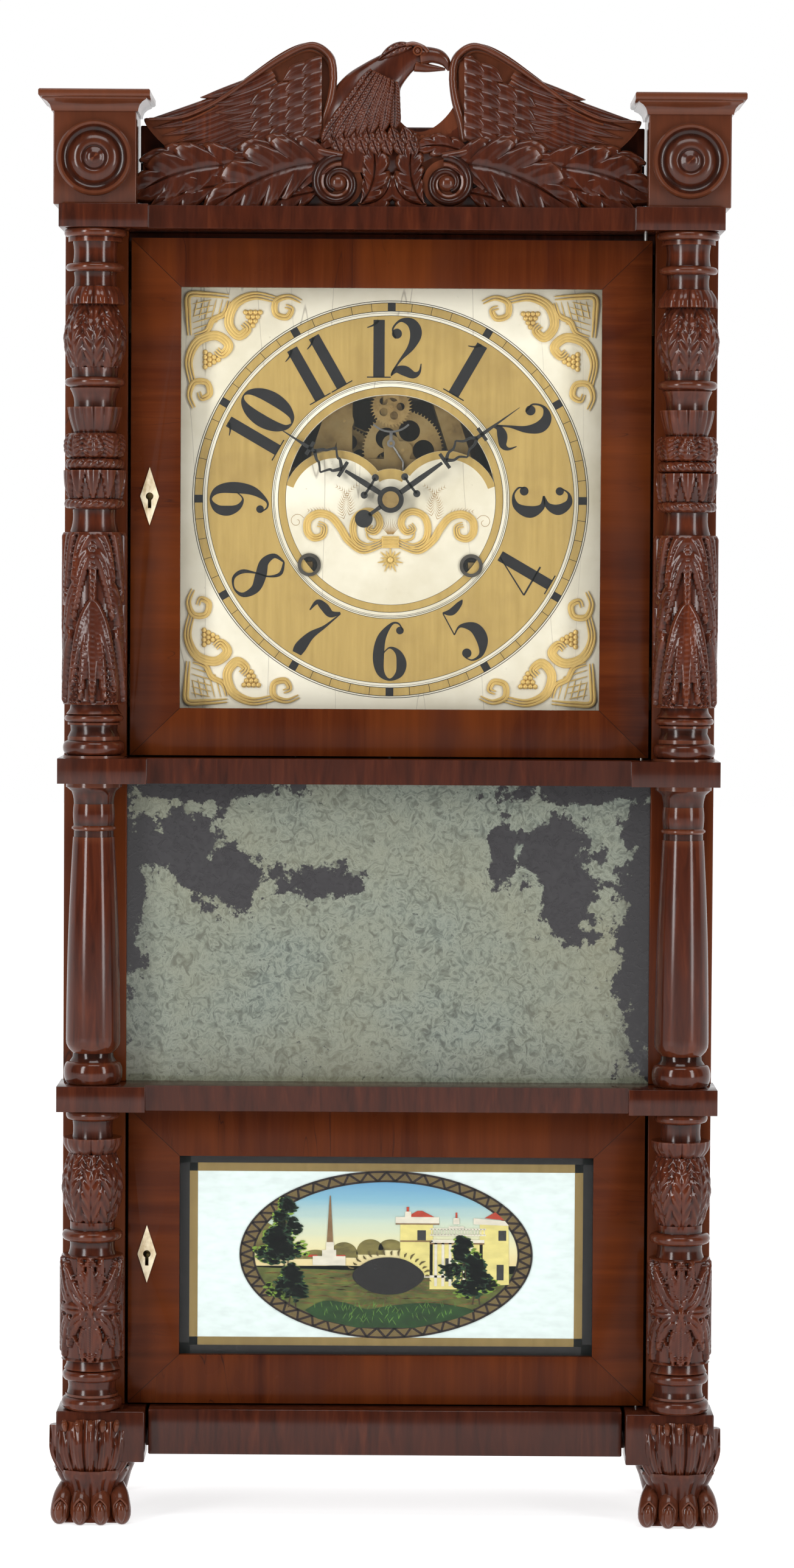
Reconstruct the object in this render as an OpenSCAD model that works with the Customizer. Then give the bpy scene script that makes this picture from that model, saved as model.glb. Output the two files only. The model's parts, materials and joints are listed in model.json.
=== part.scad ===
// Triple-decker Empire shelf clock: case, columns, doors, dial and eight-day weight movement.
// Frame: X to the right, Y to the back, Z up; origin under the middle of the case on the floor.

/* [Case] */
// Width of the case box
case_w = 414; // [400:1:430]
// Depth from the frontmost block to the back of the case
case_d = 150; // [145:1:170]
// Height of the ledge on top of the box
cornice_z = 821; // [815:1:830]
// Height of the paw feet below the plinth blocks
foot_h = 39.8; // [36:0.2:44]
// Thickness of the case sides
side_t = 12; // [9:0.5:14]

/* [Columns] */
// Distance from a column's axis in to the side of the case
column_inset = 20; // [18:0.5:21]
// Radius of the thickest turning on a column
column_r = 19.7; // [17:0.1:20.5]

/* [Doors] */
// Width of the strip beside each door
stile_w = 42; // [41:0.5:44]
// Thickness of both doors
door_t = 18; // [16:0.5:18.5]
// Half width of the glazed opening in the upper door
sight_hw = 133.5; // [125:0.5:135]
// How far a door opens, in degrees
door_open = 95; // [80:1:95]

/* [Dial and hands] */
// Height of the dial centre
dial_z = 652; // [645:1:655]
// Radius of the outermost dial line
dial_r = 126.8; // [120:0.5:130]
// Length of the minute hand from its axis
minute_len = 101; // [90:1:108]
// Length of the hour hand from its axis
hour_len = 86; // [70:1:95]

/* [Movement] */
// Thickness of the brass straps of the movement
strap_t = 2; // [1.5:0.1:2.4]
// Radius of the cord drums
drum_r = 15; // [13:0.5:16]
// Height of the pendulum bob's centre
bob_z = 155; // [140:1:170]
// Radius of the pendulum bob
bob_r = 30; // [24:1:34]

/* [Hidden] */
$fn = 64;
front_y = -75;
back_y = front_y + case_d;
back_t = 8;
face_y = -40;
face_t = 12;
case_hw = case_w / 2;
column_x = case_hw - column_inset;
door_hw = case_hw - stile_w;
inner_hw = case_hw - side_t;
door_y = -42;
door_back = door_y + door_t;
door_gap = 2;
block_w = 56;
block_x = column_x - 6;
ledge_hw = case_hw + 2;
recess_y = -64;
plinth_y = -68;
splat_back = -32;
splat_hw = 160;
plinth_top = foot_h + 32.5;
rail_z = foot_h + 3.5;
lower_z = 263.8;
lower_top = 280;
middle_z = 471.5;
middle_top = 487.4;
cornice_top = cornice_z + 14.5;
cap_z = 893.5;
cap_top = 907;
board_t = 12;
upper_door = [middle_top + 1.2, cornice_z - 4.6];
lower_door = [plinth_top + 1.2, lower_z - 1];
upper_sight = [sight_hw, dial_z - 133.4, dial_z + 133.6];
lower_sight = [132.3, 104.6, 232.5];
lock_x = 12 - door_hw;
lower_lock_z = 169.4;
pivot_x = door_hw - 4;
pivot_y = door_y + 3;
pivot_r = 1.5;
fit = 0.05;
glass_y = -37;
glass_t = 2;
dial_y = -20;
dial_t = 8;
dial_hw = 139;
hand_t = 1.2;
minute_at = 54.2;
hour_at = 302.2;
// Movement centres, measured from the dial centre as [x, z]
great = [51.8, -41.8];
second = [33.99, -3.75];
third = [7.67, 32.16];
escape = [0, 60];
verge_at = [0, 36.4];
warning = [-30, 28.3];
fly_at = [-30, 50.7];
hammer_at = [-61, 13.75];
minute_post = [-20.16, -15.12];
suspension_z = -22;
fork_z = -75;
pulley_at = [150, 138];
pulley_r = 12;
hook_z = 248;
weight_x = pulley_at[0] + pulley_r;
drum_y = 32;
front_plate = [-1, -1 + strap_t];
back_plate = [44, 44 + strap_t];
pillars = [[30, 74], [76, 6], [40, -86]];
bell_at = [-100, -190];
back_block_hw = 43;
knee = [70, -50];
elbow = [46, 20];
foot_strap = [second[0], great[1]];

// ---------- helpers ----------

// A box given by its lowest corner and its highest corner
module box(lo, hi) {
  translate(lo) cube(hi - lo);
}

// Does the same thing on the left and on the right
module both_sides() {
  children();
  mirror([1, 0, 0]) children();
}

// A flat drawing in X and Z, made solid from y0 to y1
module slab(y0, y1) {
  translate([0, y1, 0]) rotate([90, 0, 0]) linear_extrude(y1 - y0) children();
}

// Moves a movement part to its centre on the plates
module at(c) {
  translate([c[0], 0, dial_z + c[1]]) children();
}

// A round rod along Y
module rod_y(r, y0, y1) {
  translate([0, y0, 0]) rotate([-90, 0, 0]) cylinder(r = r, h = y1 - y0);
}

// A round rod between two points
module rod(a, b, r) {
  d = b - a;
  len = norm(d);
  translate(a) rotate([0, acos(d[2] / len), atan2(d[1], d[0])]) cylinder(r = r, h = len, $fn = 24);
}

// A flat bar between two centres
module bar2d(a, b, w) {
  d = b - a;
  translate(a) rotate(atan2(d[1], d[0])) translate([0, -w / 2]) square([norm(d), w]);
}

// Direction from one centre to another, in degrees
function toward(a, b) = atan2(b[1] - a[1], b[0] - a[0]);

// Toothed outline; one tooth points along the angle "face"
module teeth2d(n, m, face) {
  pitch = 360 / n;
  root = m * n / 2 - 1.05 * m;
  tip = m * n / 2 + 0.85 * m;
  rotate(face) polygon([for (i = [0:n - 1], k = [[-0.24, root], [-0.07, tip], [0.07, tip], [0.24, root]])
    k[1] * [cos((i + k[0]) * pitch), sin((i + k[0]) * pitch)]]);
}

// A brass wheel with round crossing holes
module wheel(n, m, face, y, t, hub, holes) {
  rim = m * n / 2 - 3.4;
  mid = (rim + hub) / 2;
  hole_r = min((rim - hub) / 2 - 0.8, mid * sin(180 / holes) - 0.9);
  slab(y - t / 2, y + t / 2) difference() {
    teeth2d(n, m, face);
    for (i = [0:holes - 1]) rotate(i * 360 / holes) translate([mid, 0]) circle(r = hole_r);
  }
}

// A lantern pinion: pins between two round shrouds; a gap points along "face"
module lantern(n, m, face, y0, y1) {
  r = m * n / 2;
  for (y = [y0 - 0.9, y1]) rod_y(r + m, y, y + 0.9);
  for (i = [0:n - 1])
    rotate([0, -(face + (i + 0.5) * 360 / n), 0]) translate([r, 0, 0]) rod_y(0.52 * m, y0, y1, $fn = 16);
}

// The part of a ring between two angles
module arc2d(r0, r1, a0, a1) {
  polygon(concat([for (i = [0:12]) r1 * [cos(a0 + (a1 - a0) * i / 12), sin(a0 + (a1 - a0) * i / 12)]],
    [for (i = [12:-1:0]) r0 * [cos(a0 + (a1 - a0) * i / 12), sin(a0 + (a1 - a0) * i / 12)]]));
}

// One mitred frame made as four separate members, with a rebate for the glass
module mitred_frame(hw, z, sight, y0, y1, rebate_y, rebate) {
  z_mid = (sight[1] + sight[2]) / 2;
  for (layer = [[y0, rebate_y, 0], [rebate_y, y1, rebate]]) {
    x = sight[0] + layer[2];
    lo = sight[1] - layer[2];
    hi = sight[2] + layer[2];
    slab(layer[0], layer[1]) {
      for (s = [-1, 1]) polygon([[s * hw, z[0]], [s * x, lo], [s * x, hi], [s * hw, z[1]]]);
      polygon([[-hw, z[0]], [-x, lo], [x, lo], [hw, z[0]]]);
      polygon([[-hw, z[1]], [-x, hi], [x, hi], [hw, z[1]]]);
    }
  }
}

// A turned column: rings are [height, radius share], smoothly listed from the bottom up
module turned(z0, z1, rings) {
  h = z1 - z0;
  intersection() {
    translate([column_x, front_y + column_r + 0.3, z0]) rotate_extrude()
      polygon(concat([[0, 0]], [for (p = rings) [p[1] * column_r, p[0] * h]], [[0, h]]));
    box([column_x - 30, front_y - 5, z0], [column_x + 30, face_y, z1]);
  }
}

// ---------- case ----------

module backboard() color("#6b4a2e") {
  box([-case_hw, back_y - back_t, rail_z], [case_hw, back_y, cornice_z]);
}

// Sides, top, bottom and the board behind the crest
module case_boards() color("#5c2c18") {
  both_sides() box([inner_hw, face_y + face_t, rail_z], [case_hw, back_y - back_t, cornice_z]);
  box([-inner_hw, door_back + 0.5, cornice_z - board_t], [inner_hw, back_y - back_t, cornice_z]);
  box([-inner_hw, face_y + face_t, rail_z], [inner_hw, back_y - back_t, rail_z + board_t]);
  box([-splat_hw, splat_back, cornice_top], [splat_hw, splat_back + 8, cap_z - 5.5]);
}

// Veneered strips beside the doors and the mirror
module front_stiles() color("#5a2a17") {
  both_sides() {
    for (z = [[plinth_top, lower_z], [lower_top, middle_z], [middle_top, cornice_z]])
      box([door_hw + door_gap, face_y, z[0]], [case_hw, face_y + face_t, z[1]]);
  }
}

// One ledge: a recessed board with a projecting block over each column
module ledge(z0, z1, back) {
  box([-ledge_hw, recess_y, z0], [ledge_hw, back, z1]);
  both_sides() box([ledge_hw - block_w, front_y, z0], [ledge_hw, recess_y, z1]);
}

// Pivot pin holes for a door, drilled into the board above or below it
module pivot_hole(z) {
  translate([pivot_x, pivot_y, z - 8]) cylinder(r = pivot_r, h = 16);
}

module cornice_ledge() color("#4a2012") {
  difference() {
    ledge(cornice_z, cornice_top, 45);
    pivot_hole(cornice_z);
  }
}

module middle_ledge() color("#4a2012") {
  difference() {
    ledge(middle_z, middle_top, face_y + face_t);
    pivot_hole(middle_top);
  }
}

module lower_ledge() color("#4a2012") {
  difference() {
    ledge(lower_z, lower_top, face_y + face_t);
    pivot_hole(lower_z);
  }
}

// Bottom rail and the two plinth blocks over the feet
module base_rail() color("#42200f") {
  difference() {
    union() {
      box([-case_hw + block_w, -58, rail_z], [case_hw - block_w, face_y + face_t, plinth_top]);
      both_sides() box([ledge_hw - block_w, plinth_y, foot_h], [ledge_hw, face_y + face_t, plinth_top]);
    }
    pivot_hole(plinth_top);
  }
}

// Blocks over the columns with their stepped caps
module chimneys() color("#43200f") {
  both_sides() {
    box([column_x - 26, -66, cornice_top], [column_x + 26, -14, cap_z]);
    box([column_x - 30, -70, cap_z], [column_x + 30, -10, cap_z + 7]);
    box([column_x - 35, -74.8, cap_z + 7], [column_x + 35, -5, cap_top]);
  }
}

// Turned roundels with a domed centre in a hollow
module roundels() color("#4d2413") {
  both_sides() translate([column_x, -66, 864.5]) rotate([90, 0, 0]) rotate_extrude()
    polygon([[0, 0], [23.8, 0], [23.8, 4], [22.5, 6], [20.5, 6.5], [18.5, 4], [16.5, 3.5], [14.5, 6],
      [11, 7.6], [8, 8], [7.4, 7.2], [4.8, 7.6], [3, 8.8], [0, 9]]);
}

// Right half of the crest's outline: wing, body and leaf end
crest_right = [[0, 854], [36, 856], [42, 894], [44, 928], [52, 935], [63, 935], [80, 926], [98, 916],
  [117, 905], [138, 894], [161, 890], [148, 874], [153, 866], [160, 858], [159, 836], [0, 836]];

// Carved crest: an eagle with spread wings between acanthus scrolls
module eagle_splat() color("#4a2413") {
  slab(-50, -32) {
    polygon(crest_right);
    mirror([1, 0]) polygon(crest_right);
    polygon([[-12, 850], [-32, 880], [-26, 888], [-14, 899], [-8, 906], [2, 913], [14, 941], [30, 937],
      [39, 930], [37, 922], [18, 921], [8, 912], [6, 896], [14, 880], [12, 850]]);
  }
}

// ---------- columns and feet ----------

module upper_columns() color("#3f1e10") {
  both_sides() turned(middle_top, cornice_z, [[0, 1], [0.03, 1], [0.035, 0.78], [0.06, 0.78],
    [0.065, 0.94], [0.08, 0.94], [0.085, 0.75], [0.1, 0.75], [0.105, 1], [0.42, 1], [0.43, 0.74],
    [0.465, 0.74], [0.47, 1], [0.63, 0.96], [0.66, 0.66], [0.7, 0.78], [0.71, 0.96], [0.73, 0.96],
    [0.74, 0.76], [0.78, 0.98], [0.85, 0.8], [0.87, 0.7], [0.89, 0.94], [0.92, 0.7], [0.935, 0.94],
    [0.95, 0.72], [0.97, 0.72], [0.98, 1], [1, 1]]);
}

module middle_columns() color("#4b2010") {
  both_sides() turned(lower_top, middle_z, [[0, 0.8], [0.01, 0.94], [0.05, 0.9], [0.085, 0.65],
    [0.12, 0.87], [0.4, 0.84], [0.7, 0.75], [0.84, 0.68], [0.855, 0.7], [0.93, 0.65], [0.965, 0.8],
    [0.97, 0.9], [1, 0.9]]);
}

module lower_columns() color("#3f1e10") {
  both_sides() turned(plinth_top, lower_z, [[0, 1], [0.05, 1], [0.06, 0.8], [0.1, 0.78], [0.11, 0.95],
    [0.14, 0.95], [0.155, 0.85], [0.17, 1], [0.52, 1], [0.53, 0.75], [0.56, 0.75], [0.57, 0.98],
    [0.61, 0.98], [0.625, 0.7], [0.75, 0.94], [0.84, 0.76], [0.86, 0.98], [0.9, 0.9], [0.92, 0.66],
    [0.96, 0.66], [0.97, 0.84], [1, 0.84]]);
}

// Front feet: an ankle, a leaf apron over the block and four toes each
module paw_feet() color("#3a1b0e") {
  both_sides() translate([column_x, -52, 0]) {
    translate([0, 0, foot_h - 14]) cylinder(r1 = 17, r2 = 22, h = 14);
    translate([0, 0, 4]) cylinder(r1 = 21, r2 = 17, h = foot_h - 18);
    for (i = [-1.5:1:1.5]) {
      translate([i * 11.5, -12 + abs(i) * 2.5, 7]) sphere(r = 7);
      translate([i * 11.5, -12 + abs(i) * 2.5, 0]) cylinder(r = 6, h = 7);
    }
    translate([0, 8, 0]) cylinder(r = 17, h = 8);
  }
  both_sides() hull() {
    box([column_x - 25, plinth_y - 6, foot_h - 6], [column_x + 25, plinth_y - 0.2, foot_h + 14]);
    box([column_x - 20, plinth_y - 5, foot_h - 6], [column_x + 20, plinth_y - 0.2, foot_h + 26]);
  }
}

// Plain turned rear feet
module rear_feet() color("#3a1b0e") {
  both_sides() translate([column_x - 4, back_y - 26, 0]) {
    cylinder(r1 = 13, r2 = 19, h = 20);
    translate([0, 0, 20]) cylinder(r = 19, h = rail_z - 20);
  }
}

module mirror_glass() color("#7d7f78") {
  box([-door_hw - door_gap, face_y + 5, lower_top], [door_hw + door_gap, face_y + 8, middle_z]);
}

// ---------- dial and its mounting ----------

// Opening under the top arc of the dial, over two lobes and the centre disc
module dial_window2d() {
  difference() {
    circle(r = 67);
    for (x = [-35, 35]) translate([x, -2.6]) circle(r = 34.1);
    circle(r = 19.9);
    translate([-80, -80]) square([160, 90]);
  }
}

module dial_panel() color("#e9e4d4") {
  translate([0, 0, dial_z]) slab(dial_y, dial_y + dial_t) difference() {
    translate([-dial_hw, -dial_hw]) square(2 * dial_hw);
    dial_window2d();
    circle(r = 5.5);
    for (s = [-1, 1]) translate([s * great[0], great[1]]) circle(r = 5.3);
  }
}

// Blocks that carry the dial and battens that carry the movement
module movement_blocks() color("#7a5632") {
  both_sides() for (dz = [-134, 106])
    box([126, dial_y + dial_t, dial_z + dz], [inner_hw, 0, dial_z + dz + 28]);
  box([-back_block_hw, back_plate[1], dial_z + 66], [back_block_hw, back_y - back_t, dial_z + 82]);
  box([-back_block_hw, back_plate[1], dial_z - 94], [back_block_hw, back_y - back_t, dial_z - 78]);
}

// ---------- doors ----------

// Pins that the doors turn on, fixed in the boards above and below
module door_pivots() color("#8c8a86") {
  for (z = [[upper_door[1] - 7, cornice_z + 7], [middle_top - 7, upper_door[0] + 7],
            [lower_door[1] - 7, lower_z + 7], [plinth_top - 7, lower_door[0] + 7]])
    translate([pivot_x, pivot_y, z[0]]) cylinder(r = pivot_r, h = z[1] - z[0]);
}

// A door frame with pivot holes and a keyhole
module door_frame(z, sight, lock_z) {
  difference() {
    mitred_frame(door_hw, z, sight, door_y, door_back, glass_y, 4.2);
    for (e = z) translate([pivot_x, pivot_y, e - 7.5]) cylinder(r = pivot_r + fit, h = 15);
    translate([lock_x, 0, lock_z]) slab(door_y - 1, door_back + 1) {
      circle(r = 2.4, $fn = 24);
      translate([-1.1, -7.5]) square([2.2, 7]);
    }
  }
}

// A pane that sits in the rebate of its door
module pane(sight) {
  box([-sight[0] - 4, glass_y, sight[1] - 4], [sight[0] + 4, glass_y + glass_t, sight[2] + 4]);
}

// Bone lozenge around a keyhole
module escutcheon(lock_z) {
  translate([lock_x, 0, lock_z]) slab(door_y - 0.9, door_y) difference() {
    polygon([[-6, 0], [0, 18.5], [6, 0], [0, -18.5]]);
    circle(r = 2.4, $fn = 24);
    translate([-1.1, -7.5]) square([2.2, 7]);
  }
}

// Lock case on the back of the stile, hollow for its bolt, with the key pin
module lock_case(lock_z) {
  difference() {
    box([-door_hw + 0.6, door_back, lock_z - 18], [-door_hw + 23, door_back + 6.4, lock_z + 18]);
    box([-door_hw - 1, door_back + 1.4, lock_z - 6.4], [-door_hw + 19, door_back + 5, lock_z + 6.4]);
    translate([lock_x, 0, lock_z]) rod_y(2.4, door_back - 1, door_back + 2);
  }
}

module lock_bolt(lock_z) {
  box([-door_hw + 0.8, door_back + 1.7, lock_z - 6], [-door_hw + 14, door_back + 4.7, lock_z + 6]);
}

module upper_door_frame() color("#6a2f16") door_frame(upper_door, upper_sight, dial_z + 1);
module upper_door_glass() color("#cfd8d6", 0.3) pane(upper_sight);
module upper_escutcheon() color("#e8ddc0") escutcheon(dial_z + 1);
module upper_lock() color("#9a8350") lock_case(dial_z + 1);
module upper_lock_bolt() color("#b79a5c") lock_bolt(dial_z + 1);
module lower_door_frame() color("#6a2f16") door_frame(lower_door, lower_sight, lower_lock_z);
module tablet_glass() color("#c9d2cf") pane(lower_sight);
module lower_escutcheon() color("#e8ddc0") escutcheon(lower_lock_z);
module lower_lock() color("#9a8350") lock_case(lower_lock_z);
module lower_lock_bolt() color("#b79a5c") lock_bolt(lower_lock_z);

// ---------- movement frame ----------

// Strap work shared by the front and the back of the movement

module straps2d() {
  for (s = [-1, 1]) scale([s, 1]) {
    bar2d(pillars[0], knee, 13);
    bar2d(knee, pillars[2], 13);
    bar2d(elbow, pillars[1], 12);
    bar2d(foot_strap, [second[0], 20], 10);
    for (b = [[pillars[0], 9], [knee, 8.5], [pillars[2], 8.5], [elbow, 7.5], [pillars[1], 8],
              [second, 6.5], [great, 9]])
      translate(b[0]) circle(r = b[1]);
  }
  bar2d([-30, 74], [30, 74], 14);
  bar2d([-46, 20], [46, 20], 13);
  bar2d([-66, great[1]], [66, great[1]], 14);
  bar2d([-40, -86], [40, -86], 13);
  bar2d([0, 21], [0, -87], 12);
  bar2d([0, 75], [0, 56], 11);
  bar2d([0, 19], verge_at, 9);
  bar2d([third[0], 18], third, 9);
  bar2d([-30, 17], [-30, 75], 10);
  for (b = [[verge_at, 5.6], [third, 6], [[0, 58], 7], [warning, 6.2], [fly_at, 6], [hammer_at, 7.2]])
    translate(b[0]) circle(r = b[1]);
}

// Every bearing of the two trains, as [centre, arbor radius]
bearings = [[great, 3], [[-great[0], great[1]], 3], [second, 1.2], [[-second[0], second[1]], 1.2],
  [[0, 0], 2], [third, 1.1], [escape, 1], [warning, 1.1], [fly_at, 1], [hammer_at, 1.4]];

module bearing_holes2d() {
  for (b = bearings) translate(b[0]) circle(r = b[1] + fit);
}

// Front straps, with the posts of the minute wheel and the verge and the suspension cock
module front_straps() color("#b08d3f") {
  at([0, 0]) {
    slab(front_plate[0], front_plate[1]) difference() {
      union() {
        straps2d();
        bar2d([1, minute_post[1]], minute_post, 8);
        translate(minute_post) circle(r = 5);
      }
      bearing_holes2d();
      translate(escape) circle(r = 3);
    }
    translate([minute_post[0], 0, minute_post[1]]) rod_y(1.5, -12, front_plate[0]);
    translate([verge_at[0], 0, verge_at[1]]) rod_y(1, -6.5, front_plate[0]);
    difference() {
      box([-3, -4.8, suspension_z - 2], [3, front_plate[0], suspension_z + 3]);
      box([-0.4, -5, suspension_z - 3], [0.4, -1.6, suspension_z + 1]);
    }
  }
}

// Back straps and the pillars that join the two sets
module back_straps() color("#a98738") {
  at([0, 0]) slab(back_plate[0], back_plate[1]) difference() {
    straps2d();
    bearing_holes2d();
  }
  both_sides() for (p = pillars) at(p) rod_y(3, front_plate[1], back_plate[0]);
}

// Brass cock over the front end of the escape arbor, on its foot
module escape_cock() color("#c19a45") {
  at(escape) {
    slab(-9, -8) difference() {
      bar2d([0, 0], [0, 20], 9.7);
      circle(r = 5.6);
      circle(r = 1 + fit);
    }
    box([-4.85, -8, 15.5], [4.85, front_plate[0], 20]);
    translate([0, 0, 18]) rod_y(2.2, -10, -9);
  }
}

// Brackets under the top board that carry the two pulleys
module pulley_brackets() color("#7d7c7a") {
  both_sides() at(pulley_at) {
    top = cornice_z - board_t - dial_z - pulley_at[1];
    for (y = [drum_y - 5, drum_y + 4]) box([-4, y, -3], [4, y + 1, top]);
    rod_y(1.5, drum_y - 4, drum_y + 4);
  }
}

// A pulley with a cord groove, running on its pin
module pulley() {
  translate([0, drum_y, 0]) rotate([90, 0, 0]) rotate_extrude()
    polygon([[1.5 + fit, -3], [pulley_r + 1.5, -3], [pulley_r + 1.5, -2.4], [pulley_r - 1.6, -1.2],
      [pulley_r - 1.6, 1.2], [pulley_r + 1.5, 2.4], [pulley_r + 1.5, 3], [1.5 + fit, 3]]);
}

module time_pulley() color("#c8b27a") at(pulley_at) pulley();
module strike_pulley() color("#c8b27a") at([-pulley_at[0], pulley_at[1]]) pulley();

// Cast bell on a post screwed to the backboard
module bell() color("#4c4a48") at(bell_at) {
  rotate([90, 0, 0]) translate([0, 0, -60]) rotate_extrude()
    polygon([[0, 17], [0, 20], [16, 18.5], [27, 12], [31, 0], [28.5, 0], [24.5, 11], [14, 16]]);
  rod_y(4, 43.5, back_y - back_t);
  rod_y(6, 62, back_y - back_t);
}

// ---------- hands and motion work ----------

// Outline of a hand: ears by the hub, a shield loop and a slender tip
module hand2d(len, loop_r) {
  circle(r = 8.4);
  bar2d([0, 0], [0, len * 0.6], 3);
  for (s = [-1, 1]) translate([s * 5, 16]) circle(r = 4.2);
  translate([0, len * 0.66]) difference() {
    circle(r = loop_r);
    circle(r = loop_r - 2);
  }
  translate([-6, len * 0.76]) square([12, 2.4]);
  polygon([[-1.6, len * 0.7], [1.6, len * 0.7], [0.5, len], [-0.5, len]]);
}

module minute_hand() color("#151312") at([0, 0]) {
  rotate([0, minute_at, 0]) slab(-29, -29 + hand_t) difference() {
    union() {
      hand2d(minute_len, 6.5);
      bar2d([0, 0], [0, -21], 2.4);
      translate([0, -21]) circle(r = 5.7);
    }
    circle(r = 2);
  }
}

module hour_hand() color("#151312") at([0, 0]) {
  rotate([0, hour_at, 0]) slab(-25, -25 + hand_t) difference() {
    hand2d(hour_len, 7.5);
    circle(r = 4);
  }
}

// Centre arbor with its wheel, lantern, cannon pinion and the nut in front of the hands
module centre_wheel() color("#b8923f") at([0, 0]) {
  rod_y(2, -29, back_plate[1]);
  rod_y(5.3, -31, -29);
  wheel(68, 0.87, toward([0, 0], third), 10, 1.4, 5, 6);
  lantern(12, 0.95, toward([0, 0], second), 13, 17);
  slab(-7.5, -5) teeth2d(18, 0.7, toward([0, 0], minute_post) + 10);
}

// Hour pipe and wheel, loose on the centre arbor
module hour_wheel() color("#b8923f") at([0, 0]) difference() {
  union() {
    slab(-10.2, -8.8) difference() {
      teeth2d(48, 0.84, toward([0, 0], minute_post));
      for (i = [0:3]) rotate(i * 90) translate([12, 0]) circle(r = 4);
    }
    rod_y(4, -25 + hand_t, -8.8);
    rod_y(4, -25, -25 + hand_t);
  }
  rod_y(2 + fit, -40, 0);
}

// Minute wheel and its pinion, loose on the post
module minute_wheel() color("#b8923f") at(minute_post) difference() {
  union() {
    slab(-7, -5.5) difference() {
      teeth2d(54, 0.7, toward(minute_post, [0, 0]));
      for (i = [0:4]) rotate(i * 72 + 30) translate([11, 0]) circle(r = 4);
    }
    slab(-11, -7) teeth2d(12, 0.84, toward(minute_post, [0, 0]) + 15);
  }
  rod_y(1.5 + fit, -14, 0);
}

// ---------- time train ----------

// Great wheel, loose on the drum arbor, with its click
module great_wheel(c, pinion_at) {
  at(c) difference() {
    wheel(72, 1, toward(c, pinion_at), 20, 1.8, 16, 6);
    rod_y(3 + fit, 10, 30);
  }
}

// Cord drum with flanges on the winding arbor, squared for the key
module drum(c) {
  at(c) {
    rod_y(drum_r, 23.5, 40.5);
    for (y = [22.3, 40.5]) rod_y(20, y, y + 1.2);
    rod_y(3, -4, back_plate[1]);
    box([-2, -16, -2], [2, -4, 2]);
  }
}

module second_arbor(c, from) {
  at(c) {
    rod_y(1.2, front_plate[0] - 0.5, back_plate[1]);
    lantern(12, 1, toward(c, from), 18, 22);
  }
}

strike_great = [-great[0], great[1]];
strike_second = [-second[0], second[1]];

module time_great_wheel() color("#b8923f") great_wheel(great, second);
module strike_great_wheel() color("#b8923f") great_wheel(strike_great, strike_second);
module time_drum() color("#8f7440") drum(great);
module strike_drum() color("#8f7440") drum(strike_great);

module time_second_wheel() color("#b8923f") {
  second_arbor(second, great);
  at(second) wheel(60, 0.95, toward(second, [0, 0]), 15, 1.4, 5, 6);
}

module time_third_wheel() color("#b8923f") at(third) {
  rod_y(1.1, front_plate[0] - 0.5, back_plate[1]);
  lantern(8, 0.87, toward(third, [0, 0]), 8, 12);
  wheel(68, 0.76, toward(third, escape), 5, 1.2, 4, 5);
}

// Escape wheel with thirty-six pointed teeth leaning forward
module escape_wheel() color("#c9a24c") at(escape) {
  rod_y(1, -9.6, back_plate[1]);
  lantern(8, 0.76, toward(escape, third), 3, 7);
  slab(-4.5, -3.3) difference() {
    polygon([for (i = [0:35], k = [[0, 11.6], [0.62, 13.8], [0.72, 11.6]])
      k[1] * [cos((i + k[0]) * 10), sin((i + k[0]) * 10)]]);
    for (i = [0:4]) rotate(i * 72) translate([6, 0]) circle(r = 2.6);
  }
}

// Verge with its pallets and the long bowed crutch ending in a fork
module verge() color("#6d6a66") at(verge_at) {
  reach = fork_z - verge_at[1];
  slab(-4.3, -3.1) difference() {
    union() {
      circle(r = 2.6);
      translate([-1, 0]) square([2, 8]);
      translate([0, escape[1] - verge_at[1]]) arc2d(15.5, 16.7, -135, -45);
    }
    circle(r = 1 + fit);
  }
  difference() {
    rod([1.2, -3, -1.5], [8, -3, -12], 0.8);
    rod_y(1 + fit, -5, 0);
  }
  rod([8, -3, -12], [8, -3, reach], 0.8);
  rod([8, -2.2, reach], [8, -6.4, reach], 0.8);
  rod([8.6, -6.4, reach], [-3, -6.4, reach], 0.8);
  for (x = [-2.25, 2.25]) rod([x, -6.4, reach], [x, -1.5, reach], 0.8);
}

// Suspension spring and rod
module pendulum_rod() color("#8d8b87") at([0, suspension_z]) {
  box([-0.2, -4.4, -20], [0.2, -1.8, 0.6]);
  rod([0, -3, -19], [0, -3, bob_z - dial_z - suspension_z - bob_r - 14], 1.2);
}

// Lens-shaped bob on the rod, with its rating nut below
module pendulum_bob() color("#b99a4a") translate([0, -3, bob_z]) {
  difference() {
    rotate([90, 0, 0]) rotate_extrude()
      polygon([[0, -6], [bob_r * 0.5, -5], [bob_r, -1], [bob_r, 1], [bob_r * 0.5, 5], [0, 6]]);
    cylinder(r = 1.2, h = 4 * bob_r, center = true);
  }
  translate([0, 0, -bob_r - 9]) difference() {
    cylinder(r = 4, h = 3);
    translate([0, 0, -1]) cylinder(r = 1.2, h = 5);
  }
}

// ---------- strike train ----------

// Second strike wheel with eight hammer pins
module pin_wheel() color("#b8923f") {
  second_arbor(strike_second, strike_great);
  at(strike_second) {
    wheel(60, 0.95, toward(strike_second, warning), 3.2, 1.3, 5, 6);
    for (i = [0:7]) rotate([0, i * 45, 0]) translate([24.4, 0, 0]) rod_y(0.8, 3.8, 7.6);
  }
}

module warning_wheel() color("#b8923f") at(warning) {
  rod_y(1.1, front_plate[0] - 0.5, back_plate[1]);
  lantern(8, 0.95, toward(warning, strike_second), 2.3, 4.8);
  wheel(48, 0.8, toward(warning, fly_at), 24, 1.2, 4, 5);
}

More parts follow.
